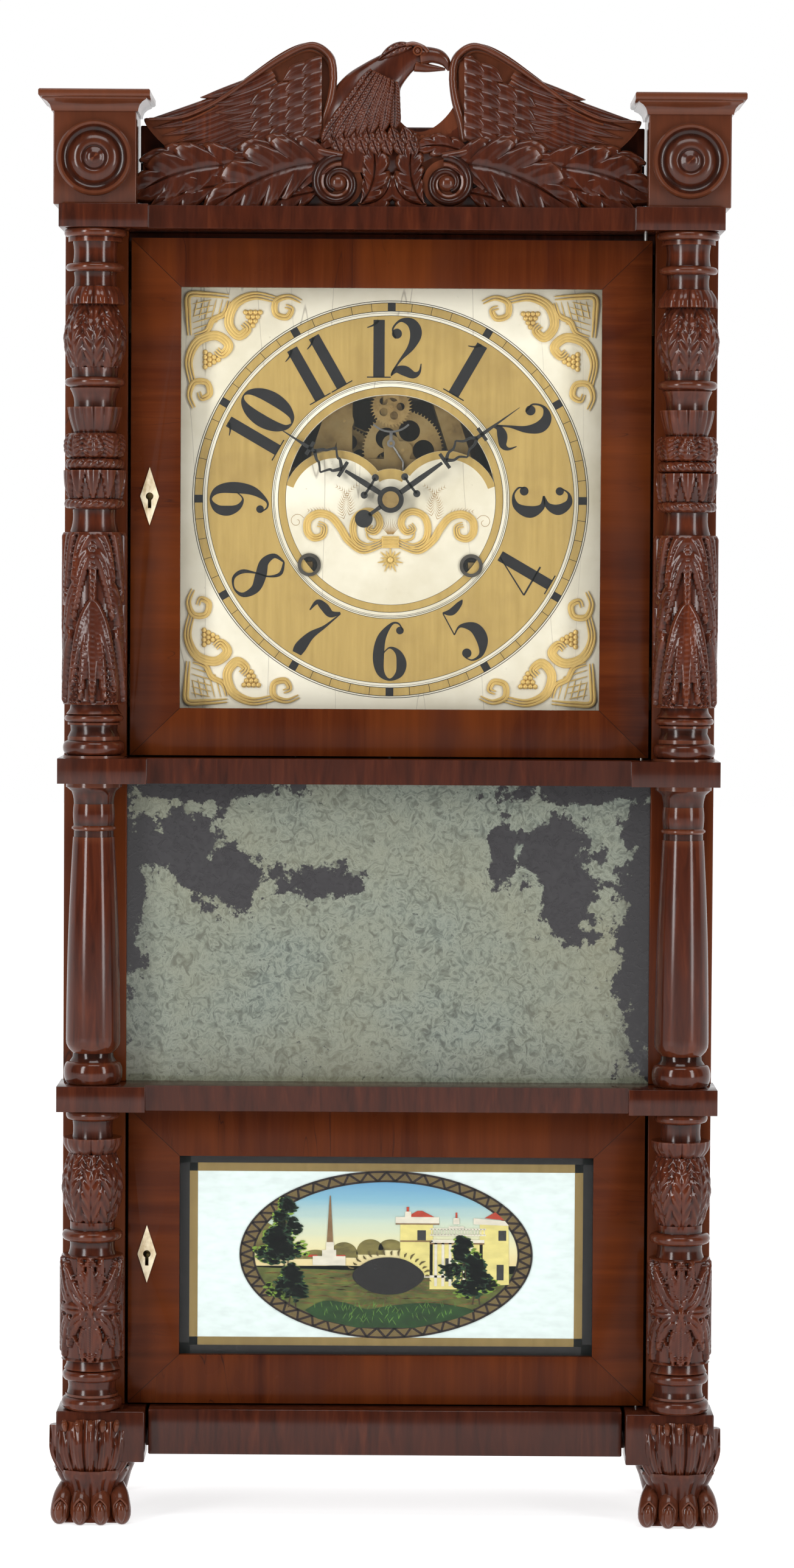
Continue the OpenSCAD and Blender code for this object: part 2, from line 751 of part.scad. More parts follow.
// Air brake: a two-bladed fan
module fly() color("#c2a55a") at(fly_at) {
  rod_y(1, front_plate[0] - 0.5, back_plate[1]);
  lantern(8, 0.8, toward(fly_at, warning), 22, 26);
  rotate([0, 25, 0]) box([-15.5, 30, -0.4], [15.5, 41, 0.4]);
  rod_y(2.4, 29, 42);
}

// Hammer arbor with its tail at the pins and the long wire down to the head
module hammer() color("#77736d") at(hammer_at) {
  reach = bell_at[1] - hammer_at[1];
  rod_y(1.4, front_plate[0] - 0.5, 52);
  rotate([0, 26, 0]) box([0, 5, -1], [5.4, 7, 1]);
  rod([0, 51, 0], [0, 51, reach], 1.1);
  translate([0, 51, reach]) rotate([0, 90, 0]) translate([0, 0, -7.4]) cylinder(r = 4.5, h = 12);
}

// ---------- weights ----------

// Cast weight with a wire hook, at its lowest place
module weight(s) {
  box([s * weight_x - 24, drum_y - 21, 82], [s * weight_x + 24, drum_y + 21, 232]);
  translate([s * weight_x, drum_y, 230]) cylinder(r = 1.6, h = 14);
  translate([s * weight_x, drum_y, hook_z]) rotate([90, 0, 0]) rotate_extrude()
    translate([5, 0]) circle(r = 1.5);
}

// Cord between the pulley and the weight's hook
module hanging_cord(s) {
  rod([s * weight_x, drum_y, hook_z + 6.6], [s * weight_x, drum_y, dial_z + pulley_at[1]], 1.1);
}

// Cords from the drums, up to the pulleys and over them
module cord_leads() color("#cbbd96") both_sides() {
  d = pulley_at - great;
  n = [-d[1], d[0]] / norm(d);
  a = great + (drum_r + 1.6) * n;
  b = pulley_at + pulley_r * n;
  rod([a[0], drum_y, dial_z + a[1]], [b[0], drum_y, dial_z + b[1]], 1.1);
  at(pulley_at) translate([0, drum_y, 0]) rotate([90, 0, 0]) rotate_extrude(angle = atan2(n[1], n[0]))
    translate([pulley_r, 0]) circle(r = 1.1);
}

module time_weight() color("#3b3a3a") weight(1);
module strike_weight() color("#3b3a3a") weight(-1);
module time_cord() color("#cbbd96") hanging_cord(1);
module strike_cord() color("#cbbd96") hanging_cord(-1);

backboard();
case_boards();
front_stiles();
cornice_ledge();
middle_ledge();
lower_ledge();
base_rail();
chimneys();
roundels();
eagle_splat();
upper_columns();
middle_columns();
lower_columns();
paw_feet();
rear_feet();
mirror_glass();
dial_panel();
movement_blocks();
door_pivots();
upper_door_frame();
upper_door_glass();
upper_escutcheon();
upper_lock();
upper_lock_bolt();
lower_door_frame();
tablet_glass();
lower_escutcheon();
lower_lock();
lower_lock_bolt();
front_straps();
back_straps();
escape_cock();
pulley_brackets();
time_pulley();
strike_pulley();
bell();
minute_hand();
centre_wheel();
hour_hand();
hour_wheel();
minute_wheel();
time_great_wheel();
time_drum();
time_second_wheel();
time_third_wheel();
escape_wheel();
verge();
pendulum_rod();
pendulum_bob();
strike_great_wheel();
strike_drum();
pin_wheel();
warning_wheel();
fly();
hammer();
time_weight();
strike_weight();
cord_leads();
time_cord();
strike_cord();
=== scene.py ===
import json
import math
import random

import bmesh
import bpy
import numpy as np
from mathutils import Matrix, Vector

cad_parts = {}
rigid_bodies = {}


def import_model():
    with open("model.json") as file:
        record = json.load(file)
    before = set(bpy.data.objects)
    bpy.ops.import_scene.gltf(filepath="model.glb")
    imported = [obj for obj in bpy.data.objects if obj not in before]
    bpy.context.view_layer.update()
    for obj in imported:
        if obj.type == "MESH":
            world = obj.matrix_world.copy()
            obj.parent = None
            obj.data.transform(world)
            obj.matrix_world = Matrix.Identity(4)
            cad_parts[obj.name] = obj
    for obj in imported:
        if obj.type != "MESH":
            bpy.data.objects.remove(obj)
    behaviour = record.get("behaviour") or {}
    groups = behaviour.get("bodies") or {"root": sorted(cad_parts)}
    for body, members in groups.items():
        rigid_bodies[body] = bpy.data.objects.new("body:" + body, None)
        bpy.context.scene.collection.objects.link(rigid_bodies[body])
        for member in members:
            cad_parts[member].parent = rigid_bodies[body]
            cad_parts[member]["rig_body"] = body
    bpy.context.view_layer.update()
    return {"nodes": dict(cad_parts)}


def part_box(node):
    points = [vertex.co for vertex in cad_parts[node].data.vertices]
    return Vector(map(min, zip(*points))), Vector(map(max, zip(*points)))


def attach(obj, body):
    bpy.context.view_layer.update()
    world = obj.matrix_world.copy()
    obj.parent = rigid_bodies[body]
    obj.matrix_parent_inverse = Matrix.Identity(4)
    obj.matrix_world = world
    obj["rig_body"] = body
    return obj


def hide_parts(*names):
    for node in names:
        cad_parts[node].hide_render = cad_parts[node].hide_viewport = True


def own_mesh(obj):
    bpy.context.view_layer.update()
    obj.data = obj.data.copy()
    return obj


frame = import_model()

MM = 0.001
SHARP_EDGE = math.radians(38)   # faces that meet more steeply than this keep a crisp edge
dice = random.Random(7)


# ---------------------------------------------------------------- camera, light and floor

def set_camera():
    """A long lens at the height of the dial's foot, turned a touch as a hand-held shot is."""
    lens, tilt = 108.6, math.radians(0.35)
    target = Vector((0.0052, -0.05, 0.4715))
    place = Vector((0.0052, -3.05, 0.61))
    data = bpy.data.cameras.new("camera")
    data.sensor_width = 36
    data.lens = lens
    cam = bpy.data.objects.new("camera", data)
    bpy.context.scene.collection.objects.link(cam)
    cam.rotation_mode = "QUATERNION"
    cam.location = place
    turn = (target - place).to_track_quat("-Z", "Y")
    cam.rotation_quaternion = turn @ Matrix.Rotation(tilt, 4, "Z").to_quaternion()
    bpy.context.scene.camera = cam


def soft_lamp(name, place, aim, size, watts):
    data = bpy.data.lights.new(name, "AREA")
    data.shape = "RECTANGLE"
    data.size, data.size_y = size
    data.energy = watts
    lamp = bpy.data.objects.new(name, data)
    lamp.location = place
    lamp.rotation_euler = (Vector(aim) - Vector(place)).to_track_quat("-Z", "Y").to_euler()
    bpy.context.scene.collection.objects.link(lamp)


def set_light():
    """A white sweep behind the clock, a dim room in front and soft lamps at the sides."""
    bpy.context.scene.view_settings.view_transform = "Standard"
    world = bpy.data.worlds.new("room")
    world.use_nodes = True
    tree = world.node_tree
    way = add(tree, "SeparateXYZ", Vector=add(tree, "TexCoord").outputs["Generated"]).outputs["Y"]
    room = grey(tree, way, (0.0, 0.10), (0.12, 1.0))
    tree.links.new(room, tree.nodes["Background"].inputs["Color"])
    tree.nodes["Background"].inputs["Strength"].default_value = 1.0
    bpy.context.scene.world = world
    soft_lamp("left_softbox", (-1.7, -1.9, 1.1), (0, 0, 0.5), (0.5, 1.7), 38)
    soft_lamp("right_softbox", (1.8, -1.8, 1.0), (0, 0, 0.5), (0.5, 1.7), 28)
    soft_lamp("top_softbox", (0, -1.2, 2.3), (0, 0, 0.5), (1.4, 0.7), 17)


def make_floor():
    bm = bmesh.new()
    bmesh.ops.create_grid(bm, x_segments=1, y_segments=1, size=9)
    mesh = bpy.data.meshes.new("floor")
    bm.to_mesh(mesh)
    floor = bpy.data.objects.new("floor", mesh)
    floor.location.z = -0.0004
    bpy.context.scene.collection.objects.link(floor)
    floor.data.materials.append(pale_floor())


# ---------------------------------------------------------------- finishes

def new_finish(name, colour, rough=0.5, metal=0.0, coat=0.0, specular=0.5):
    material = bpy.data.materials.new(name)
    material.use_nodes = True
    material.diffuse_color = (*colour, 1)
    shader = material.node_tree.nodes["Principled BSDF"]
    shader.inputs["Base Color"].default_value = (*colour, 1)
    shader.inputs["Roughness"].default_value = rough
    shader.inputs["Metallic"].default_value = metal
    shader.inputs["Coat Weight"].default_value = coat
    shader.inputs["Coat Roughness"].default_value = 0.12
    shader.inputs["Specular IOR Level"].default_value = specular
    return material, material.node_tree, shader


def add(tree, kind, settings=None, **sockets):
    """Adds one shader node; each named socket is linked or given its value."""
    node = tree.nodes.new("ShaderNode" + kind)
    for key, value in (settings or {}).items():
        setattr(node, key, value)
    for key, value in sockets.items():
        socket = node.inputs[key.replace("_", " ")]
        if isinstance(value, bpy.types.NodeSocket):
            tree.links.new(value, socket)
        else:
            socket.default_value = value
    return node


def place_map(tree, scale, turn=(0, 0, 0), shift=(0, 0, 0)):
    where = add(tree, "TexCoord").outputs["Object"]
    return add(tree, "Mapping", Vector=where, Scale=scale, Rotation=turn, Location=shift).outputs[0]


def noise(tree, scale_vector, scale=1.0, detail=5.0, rough=0.6, warp=0.0, **where):
    spot = place_map(tree, scale_vector, **where)
    node = add(tree, "TexNoise", Vector=spot, Scale=scale, Detail=detail, Roughness=rough, Distortion=warp)
    return node.outputs["Fac"]


def ramp(tree, factor, *stops):
    """Colour ramp: each stop is (place, colour)."""
    node = add(tree, "ValToRGB", Fac=factor)
    band = node.color_ramp
    while len(band.elements) < len(stops):
        band.elements.new(0.5)
    for element, (place, colour) in zip(band.elements, stops):
        element.position = place
        element.color = colour if len(colour) == 4 else (*colour, 1)
    return node.outputs["Color"]


def grey(tree, factor, *stops):
    return ramp(tree, factor, *[(place, (v, v, v)) for place, v in stops])


def mix(tree, factor, a, b, way="MIX"):
    node = tree.nodes.new("ShaderNodeMix")
    node.data_type = "RGBA"
    node.blend_type = way
    for index, value in ((0, factor), (6, a), (7, b)):
        if isinstance(value, bpy.types.NodeSocket):
            tree.links.new(value, node.inputs[index])
        elif index:
            node.inputs[index].default_value = (*value, 1)
        else:
            node.inputs[index].default_value = value
    return node.outputs[2]


def raise_surface(tree, shader, height, strength, distance=0.0006):
    bump = add(tree, "Bump", Height=height, Strength=strength, Distance=distance)
    tree.links.new(bump.outputs[0], shader.inputs["Normal"])


def worn_edges(tree):
    """Lighter on rubbed edges, darker in hollows: the edges show real wear, the hollows are painted shade."""
    point = add(tree, "NewGeometry").outputs["Pointiness"]
    return grey(tree, point, (0.43, 0.0), (0.5, 0.5), (0.57, 1.0))


def carved_mahogany(name="carved_mahogany", light=1.0, rough=0.22, wear_and_shade=True):
    m, t, s = new_finish(name, (0.12, 0.04, 0.02), rough=rough, coat=0.22, specular=0.2)
    grain = noise(t, (60, 60, 7), 3.0, detail=6, warp=0.6)
    cloud = noise(t, (14, 14, 9), 1.0, detail=3)
    # light scales the whole colour; values above 1 (WOOD, polished_columns) make brighter copies of the mahogany as
    # painted light.
    wood = ramp(t, grain, (0.28, (0.020 * light, 0.0046 * light, 0.0022 * light)),
                (0.55, (0.052 * light, 0.0108 * light, 0.0042 * light)),
                (0.8, (0.096 * light, 0.0215 * light, 0.0075 * light)))
    wood = mix(t, grey(t, cloud, (0.35, 0.0), (0.7, 0.6)), wood, (0.042, 0.012, 0.007))
    if wear_and_shade:
        edge = worn_edges(t)
        # Painted shade: darker in the hollows, where Pointiness is low.
        wood = mix(t, grey(t, edge, (0.0, 0.9), (0.46, 0.0)), wood, (0.006, 0.0028, 0.002))
        # Lighter on rubbed edges: real wear.
        wood = mix(t, grey(t, edge, (0.6, 0.0), (1.0, 0.5)), wood, (0.15, 0.046, 0.020))
    t.links.new(wood, s.inputs["Base Color"])
    t.links.new(grey(t, cloud, (0.3, rough - 0.07), (0.8, rough + 0.08)), s.inputs["Roughness"])
    raise_surface(t, s, grain, 0.12)
    return m


def mahogany_veneer(name, across, light=1.0):
    """Polished veneer; its figure runs along X when across is true and along Z when not."""
    m, t, s = new_finish(name, (0.22, 0.07, 0.03), rough=0.22, coat=0.05, specular=0.08)
    fine = (4, 40, 120) if across else (120, 40, 4)
    broad = (3, 9, 13) if across else (13, 9, 3)
    streak = noise(t, fine, 1.0, detail=8, rough=0.7, warp=0.25)
    flame = noise(t, broad, 1.0, detail=3, warp=1.2)
    wood = ramp(t, streak, (0.25, (0.050 * light, 0.0095 * light, 0.0032 * light)),
                (0.5, (0.115 * light, 0.0225 * light, 0.0062 * light)),
                (0.75, (0.190 * light, 0.042 * light, 0.0100 * light)))
    glow = grey(t, flame, (0.35, 0.0), (0.72, 0.62))
    wood = mix(t, glow, wood, (0.25 * light, 0.056 * light, 0.0085 * light))
    dark = grey(t, noise(t, broad, 1.7, detail=4, shift=(3, 1, 7)), (0.5, 0.0), (0.78, 0.7))
    wood = mix(t, dark, wood, (0.047, 0.0125, 0.007))
    crack_map = (2.2, 30, 26) if across else (26, 30, 2.2)
    crack = noise(t, crack_map, 2.1, detail=2, warp=0.35, shift=(5, 2, 9))
    line = grey(t, crack, (0.496, 0.0), (0.5, 1.0), (0.504, 0.0))
    patch = grey(t, noise(t, (9, 9, 9), 1.0, detail=2, shift=(1, 4, 2)), (0.5, 0.0), (0.62, 0.75))
    crack_here = mix(t, 1.0, line, patch, "MULTIPLY")
    wood = mix(t, crack_here, wood, (0.012, 0.005, 0.004))
    t.links.new(wood, s.inputs["Base Color"])
    t.links.new(grey(t, flame, (0.2, 0.2), (0.8, 0.36)), s.inputs["Roughness"])
    raise_surface(t, s, streak, 0.05)
    return m


def plain_wood(name, pale, dark, rough=0.6):
    m, t, s = new_finish(name, pale, rough=rough)
    grain = noise(t, (45, 30, 3), 1.6, detail=7, warp=0.8)
    wood = ramp(t, grain, (0.3, dark), (0.7, pale))
    dirt = grey(t, noise(t, (8, 8, 8), 1.0, detail=4), (0.4, 0.0), (0.75, 0.5))
    wood = mix(t, dirt, wood, tuple(c * 0.45 for c in dark))
    t.links.new(wood, s.inputs["Base Color"])
    raise_surface(t, s, grain, 0.25)
    return m


def bone_inlay():
    m, t, s = new_finish("bone", (0.72, 0.62, 0.42), rough=0.38)
    stain = noise(t, (120, 120, 60), 2.0, detail=5)
    t.links.new(ramp(t, stain, (0.3, (0.42, 0.30, 0.15)), (0.6, (0.78, 0.68, 0.48))),
                s.inputs["Base Color"])
    raise_surface(t, s, stain, 0.08)
    return m


def dial_white():
    m, t, s = new_finish("dial_white", (0.72, 0.673, 0.528), rough=0.5)
    stain = noise(t, (7, 7, 7), 1.6, detail=6, rough=0.65)
    paint = ramp(t, stain, (0.3, (0.6, 0.546, 0.396)), (0.6, (0.78, 0.736, 0.59)))
    speck = noise(t, (300, 300, 300), 1.0, detail=2)
    paint = mix(t, grey(t, speck, (0.7, 0.0), (0.76, 0.5)), paint, (0.30, 0.24, 0.16))
    crack = noise(t, (22, 30, 2.0), 1.3, detail=2, warp=0.25, shift=(2, 0, 4))
    fine = grey(t, crack, (0.4975, 0.0), (0.5, 0.6), (0.5025, 0.0))
    paint = mix(t, fine, paint, (0.18, 0.14, 0.10))
    t.links.new(paint, s.inputs["Base Color"])
    raise_surface(t, s, stain, 0.1)
    return m


def old_gilt(name="old_gilt", tone=1.0, rough=0.38):
    m, t, s = new_finish(name, (0.55, 0.37, 0.13), rough=rough, metal=0.85)
    wear = noise(t, (60, 60, 60), 1.3, detail=6)
    gold = ramp(t, wear, (0.3, (0.20 * tone, 0.115 * tone, 0.042 * tone)),
                (0.55, (0.50 * tone, 0.335 * tone, 0.125 * tone)),
                (0.8, (0.70 * tone, 0.50 * tone, 0.22 * tone)))
    t.links.new(gold, s.inputs["Base Color"])
    t.links.new(grey(t, wear, (0.3, 0.6), (0.75, 0.3)), s.inputs["Roughness"])
    raise_surface(t, s, wear, 0.15)
    return m


def gold_leaf(name, tone=1.0):
    """Flat gilding with fine brushed streaks."""
    m, t, s = new_finish(name, (0.55, 0.38, 0.11), rough=0.42, metal=0.45)
    streak = noise(t, (240, 240, 14), 1.0, detail=5)
    cloud = noise(t, (22, 22, 22), 1.0, detail=5)
    gold = ramp(t, streak, (0.3, (0.46 * tone, 0.31 * tone, 0.086 * tone)),
                (0.7, (0.56 * tone, 0.385 * tone, 0.118 * tone)))
    gold = mix(t, grey(t, cloud, (0.5, 0.0), (0.75, 0.55)), gold, (0.33 * tone, 0.21 * tone, 0.06 * tone))
    t.links.new(gold, s.inputs["Base Color"])
    raise_surface(t, s, streak, 0.06)
    return m


def aged_brass(name="aged_brass", tone=1.0):
    m, t, s = new_finish(name, (0.62, 0.44, 0.17), rough=0.34, metal=1.0)
    tarnish = noise(t, (35, 35, 35), 1.5, detail=7)
    brass = ramp(t, tarnish, (0.28, (0.20 * tone, 0.12 * tone, 0.045 * tone)),
                 (0.5, (0.50 * tone, 0.34 * tone, 0.13 * tone)),
                 (0.8, (0.72 * tone, 0.53 * tone, 0.24 * tone)))
    t.links.new(brass, s.inputs["Base Color"])
    t.links.new(grey(t, tarnish, (0.3, 0.5), (0.8, 0.24)), s.inputs["Roughness"])
    return m


def dull_metal(name, colour, rough, metal=1.0):
    m, t, s = new_finish(name, colour, rough=rough, metal=metal)
    spots = noise(t, (50, 50, 50), 2.0, detail=6)
    shade = ramp(t, spots, (0.3, tuple(c * 0.45 for c in colour)), (0.7, colour))
    t.links.new(shade, s.inputs["Base Color"])
    raise_surface(t, s, spots, 0.15)
    return m


def cotton_cord():
    m, t, s = new_finish("cotton_cord", (0.55, 0.48, 0.33), rough=0.9)
    twist = add(t, "TexWave", {"wave_type": "BANDS", "bands_direction": "DIAGONAL"},
                Vector=place_map(t, (400, 400, 400)), Scale=1.0, Distortion=0.4).outputs["Fac"]
    t.links.new(ramp(t, twist, (0.2, (0.30, 0.25, 0.16)), (0.8, (0.60, 0.53, 0.38))),
                s.inputs["Base Color"])
    raise_surface(t, s, twist, 0.5)
    return m


def foxed_mirror():
    """Old silvering: grey-green crazing, with ragged bare patches near the top corners."""
    m, t, s = new_finish("foxed_mirror", (0.3, 0.3, 0.27), rough=0.3, metal=0.0, coat=0.5)
    s.inputs["Coat Roughness"].default_value = 0.05
    worms = noise(t, (150, 150, 150), 1.0, detail=5, rough=0.6, warp=1.6)
    silver = ramp(t, worms, (0.34, (0.060, 0.070, 0.058)), (0.47, (0.135, 0.160, 0.130)),
                  (0.55, (0.21, 0.235, 0.19)), (0.68, (0.10, 0.118, 0.098)))
    haze = noise(t, (5, 5, 7), 1.0, detail=5, shift=(3, 0, 1))
    silver = mix(t, grey(t, haze, (0.4, 0.0), (0.7, 0.55)), silver, (0.22, 0.20, 0.11))
    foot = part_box("mirror_glass")[0].z / MM
    where = add(t, "TexCoord").outputs["Object"]
    ragged = noise(t, (60, 60, 60), 1.0, detail=6, rough=0.7)
    bare = None
    for x, z, wide, high in ((-134, 152, 34, 26), (-104, 130, 24, 24), (-45, 128, 30, 13),
                             (72, 146, 10, 22), (108, 146, 26, 26), (114, 118, 21, 30), (166, 95, 20, 120),
                             (-168, 120, 12, 70), (-120, 186, 60, 9), (130, 188, 60, 10)):
        reach = add(t, "Mapping", Vector=where, Location=(-x / wide, 0, -(foot + z) / high),
                    Scale=(1 / (wide * MM), 0, 1 / (high * MM))).outputs[0]
        far = add(t, "VectorMath", {"operation": "LENGTH"}, Vector=reach).outputs["Value"]
        if bare is None:
            bare = far
        else:
            nearest = add(t, "Math", {"operation": "MINIMUM"})
            t.links.new(bare, nearest.inputs[0])
            t.links.new(far, nearest.inputs[1])
            bare = nearest.outputs[0]
    torn = add(t, "Math", {"operation": "MULTIPLY_ADD"})
    t.links.new(ragged, torn.inputs[0])
    torn.inputs[1].default_value = -3.4
    t.links.new(bare, torn.inputs[2])
    hole = add(t, "MapRange", Value=torn.outputs[0])
    hole.inputs["From Min"].default_value = -0.72
    hole.inputs["From Max"].default_value = -0.84
    silver = mix(t, hole.outputs[0], silver, (0.016, 0.014, 0.016))
    pits = noise(t, (300, 300, 300), 1.0, detail=3)
    silver = mix(t, grey(t, pits, (0.67, 0.0), (0.72, 0.7)), silver, (0.02, 0.02, 0.018))
    t.links.new(silver, s.inputs["Base Color"])
    t.links.new(grey(t, worms, (0.35, 0.5), (0.6, 0.22)), s.inputs["Roughness"])
    raise_surface(t, s, worms, 0.2)
    return m


def old_glass():
    m, t, s = new_finish("old_glass", (0.30, 0.33, 0.32), rough=0.02, specular=0.3)
    s.inputs["Alpha"].default_value = 0.03
    wave = noise(t, (5, 5, 8), 1.0, detail=1)
    raise_surface(t, s, wave, 0.05)
    m.surface_render_method = "BLENDED"
    return m


def pale_floor():
    m, _, s = new_finish("pale_floor", (0.62, 0.62, 0.63), rough=0.7, specular=0.1)
    s.inputs["Emission Color"].default_value = (1, 1, 1, 1)
    s.inputs["Emission Strength"].default_value = 0.72
    return m


def paint(name, colour, rough=0.45, spread=0.25):
    """Flat paint with a little brush variation."""
    m, t, s = new_finish(name, colour, rough=rough, specular=0.2)
    brush = noise(t, (70, 70, 160), 1.4, detail=5)
    low = tuple(c * (1 - spread) for c in colour)
    high = tuple(min(1.0, c * (1 + spread)) for c in colour)
    t.links.new(ramp(t, brush, (0.3, low), (0.7, high)), s.inputs["Base Color"])
    return m


# ---------------------------------------------------------------- making pieces

def piece(name, bm, material, body, replaced=(), smooth=True):
    """Turns a bmesh into a finished piece that rides on a body."""
    bmesh.ops.recalc_face_normals(bm, faces=bm.faces)
    for face in bm.faces:
        face.smooth = smooth
    mesh = bpy.data.meshes.new(name)
    bm.to_mesh(mesh)
    bm.free()
    if smooth:
        mesh.set_sharp_from_angle(angle=SHARP_EDGE)
    made = bpy.data.objects.new(name, mesh)
    bpy.context.scene.collection.objects.link(made)
    mesh.materials.append(material)
    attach(made, body)
    if replaced:
        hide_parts(*replaced)
    return made


def mirrored(bm):
    """Adds a copy of everything on the other side of the clock's middle."""
    copy = bmesh.ops.duplicate(bm, geom=bm.verts[:] + bm.edges[:] + bm.faces[:])
    fresh = [g for g in copy["geom"] if isinstance(g, bmesh.types.BMVert)]
    bmesh.ops.scale(bm, vec=(-1, 1, 1), verts=fresh)
    faces = [g for g in copy["geom"] if isinstance(g, bmesh.types.BMFace)]
    bmesh.ops.reverse_faces(bm, faces=faces)


def soften(node, width, material, name=None):
    """Replaces a CAD board by a copy of itself with slightly rounded edges."""
    source = frame["nodes"][node]
    bm = bmesh.new()
    bm.from_mesh(source.data)
    bmesh.ops.remove_doubles(bm, verts=bm.verts, dist=1e-6)
    bmesh.ops.dissolve_limit(bm, angle_limit=math.radians(1), verts=bm.verts, edges=bm.edges)
    sharp = [e for e in bm.edges if len(e.link_faces) == 2 and e.calc_face_angle(0) > 0.6]
    bmesh.ops.bevel(bm, geom=sharp, offset=width, segments=2, profile=0.5, affect="EDGES", material=-1,
                    clamp_overlap=True)
    return piece(name or node + "_finished", bm, material, source["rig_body"], [node])


def apart(make):
    """Builds a part in a small mesh of its own first, as operators slow down on a large one."""
    def build(bm, *args, **settings):
        own = bmesh.new()
        make(own, *args, **settings)
        data = bpy.data.meshes.new("part")
        own.to_mesh(data)
        own.free()
        bm.from_mesh(data)
        bpy.data.meshes.remove(data)
    return build


def surface(bm, across, along, place):
    """A grid bent into shape: place(u, v) gives a point for u in -1..1 and v in 0..1."""
    made = bmesh.ops.create_grid(bm, x_segments=across, y_segments=along, size=1)
    for vert in made["verts"]:
        vert.co = place(vert.co.x, (vert.co.y + 1) / 2)
    return made["verts"]


def close_back(bm, verts, y):
    """Gives a carved surface its side walls and a flat back at y."""
    group = set(verts)
    rim = [e for v in verts for e in v.link_edges if len(e.link_faces) == 1 and set(e.verts) <= group]
    rim = list(dict.fromkeys(rim))
    grown = bmesh.ops.extrude_edge_only(bm, edges=rim)["geom"]
    for vert in (g for g in grown if isinstance(g, bmesh.types.BMVert)):
        vert.co.y = y
    bmesh.ops.holes_fill(bm, edges=[g for g in grown if isinstance(g, bmesh.types.BMEdge)], sides=0)


def curve_point(a, b, c, t):
    """Point and direction on a curve from a, bent by b, to c."""
    spot = a * (1 - t) ** 2 + b * 2 * t * (1 - t) + c * t * t
    way = (b - a) * 2 * (1 - t) + (c - b) * 2 * t
    return spot, way.normalized()


@apart
def leaf(bm, root, bend, tip, width, y, rise, lobes=0, veins=0, fold=0.35, root_width=0.3, back=None):
    """One carved leaf or feather lying in the plane of the front, given in millimetres as (x, z)."""
    root, bend, tip = (Vector((p[0], 0, p[1])) for p in (root, bend, tip))

    def place(u, v):
        spot, way = curve_point(root, bend, tip, min(v, 0.999))
        side = Vector((way.z, 0, -way.x))
        edge = abs(u)
        if v < 0.45:
            breadth = root_width + (1 - root_width) * math.sin(math.pi / 2 * v / 0.45)
        else:
            breadth = max(0.02, 1 - ((v - 0.45) / 0.55) ** 2.2)
        breadth *= width / 2
        height = (1 - edge ** 2.6) ** 0.5 * (0.35 + 0.65 * math.sin(math.pi * min(1, 0.12 + v * 0.88)))
        height -= fold * math.exp(-(edge / 0.13) ** 2)
        sweep = 0.0
        if lobes:
            phase = (v * lobes) % 1.0
            breadth *= 0.76 + 0.30 * math.sin(math.pi * phase ** 1.35) ** 0.5
            sweep = width * (0.34 * edge ** 1.4 + 0.05 * edge * phase)
            crease = math.exp(-((min(phase, 1 - phase)) / 0.07) ** 2)
            height = (1 - edge ** 7) ** 0.5 * (0.6 + 0.4 * math.sin(math.pi * min(1, 0.12 + v * 0.88)))
            height -= 0.5 * fold * math.exp(-(edge / 0.07) ** 2) + 0.16 * crease * edge
            height += 0.13 * (math.sin(math.pi * phase) - 0.5) * edge
            height += 0.035 * math.cos(2 * math.pi * 3 * phase) * edge ** 0.7
        elif veins:
            ripple = math.cos(2 * math.pi * (v * veins - edge * 0.9))
            height += 0.16 * ripple * min(1, edge * 2.2) * (1 - edge ** 4)
        spot = spot + side * (u * breadth) + way * sweep
        return Vector((spot.x, y - rise * max(height, -0.3), spot.z)) * MM

    verts = surface(bm, 18 if lobes else 14, max(14, lobes * 14, veins * 4), place)
    close_back(bm, verts, (y + 2 if back is None else back) * MM)


@apart
def tube(bm, points, radius, sides=8, flat=1.0):
    """A round bead along points (metres); radius may be a list, and flat squeezes it in Y."""
    radii = radius if isinstance(radius, (list, tuple)) else [radius] * len(points)
    rings = []
    for i, spot in enumerate(points):
        ahead = points[min(i + 1, len(points) - 1)] - points[max(i - 1, 0)]
        ring = bmesh.ops.create_circle(bm, segments=sides, radius=radii[i], cap_ends=False)["verts"]
        turn = ahead.to_track_quat("Z", "Y").to_matrix().to_4x4()
        bmesh.ops.transform(bm, matrix=Matrix.Translation(spot) @ turn, verts=ring)
        if flat != 1.0:
            for vert in ring:
                vert.co.y = spot.y + (vert.co.y - spot.y) * flat
        edges = list({e for v in ring for e in v.link_edges if e.other_vert(v) in ring})
        if rings:
            bmesh.ops.bridge_loops(bm, edges=rings[-1] + edges)
        rings.append(edges)
    for end in (rings[0], rings[-1]):
        bmesh.ops.holes_fill(bm, edges=end, sides=0)


def spiral(cx, cz, y, r0, r1, a0, turns, steps=28):
    """Points of a flat spiral in the front plane; angles in degrees."""
    out = []
    for i in range(steps + 1):
        t = i / steps
        r = r0 + (r1 - r0) * t ** 0.85
        a = math.radians(a0 + 360 * turns * t)
        out.append(Vector((cx + r * math.cos(a), y, cz + r * math.sin(a))) * MM)
    return out


@apart
def spun(bm, outline, centre, axis=(0, 0, 1), steps=64):
    """Turns an outline of (radius, height) in millimetres round an axis through centre."""
    centre = Vector(centre)
    up = Vector(axis)
    side = Vector((1, 0, 0)) if abs(up.x) < 0.5 else Vector((0, 0, 1))
    verts = [bm.verts.new((centre + side * r + up * h) * MM) for r, h in outline]
    edges = [bm.edges.new(pair) for pair in zip(verts, verts[1:])]
    bmesh.ops.spin(bm, geom=verts + edges, cent=centre * MM, axis=up, angle=2 * math.pi, steps=steps,
                   use_merge=True, use_duplicate=False)
    bmesh.ops.remove_doubles(bm, verts=bm.verts, dist=1e-6)


# ---------------------------------------------------------------- columns

COLUMN_RADIUS = 19.7
DRUM_HALF_ANGLE = 1.55   # the carved field on a drum, each side of its front


def column_axis_x():
    """The columns stand under the middle of the roundels."""
    roundel_edge_to_middle = 23.8
    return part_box("roundels")[1].x / MM - roundel_edge_to_middle


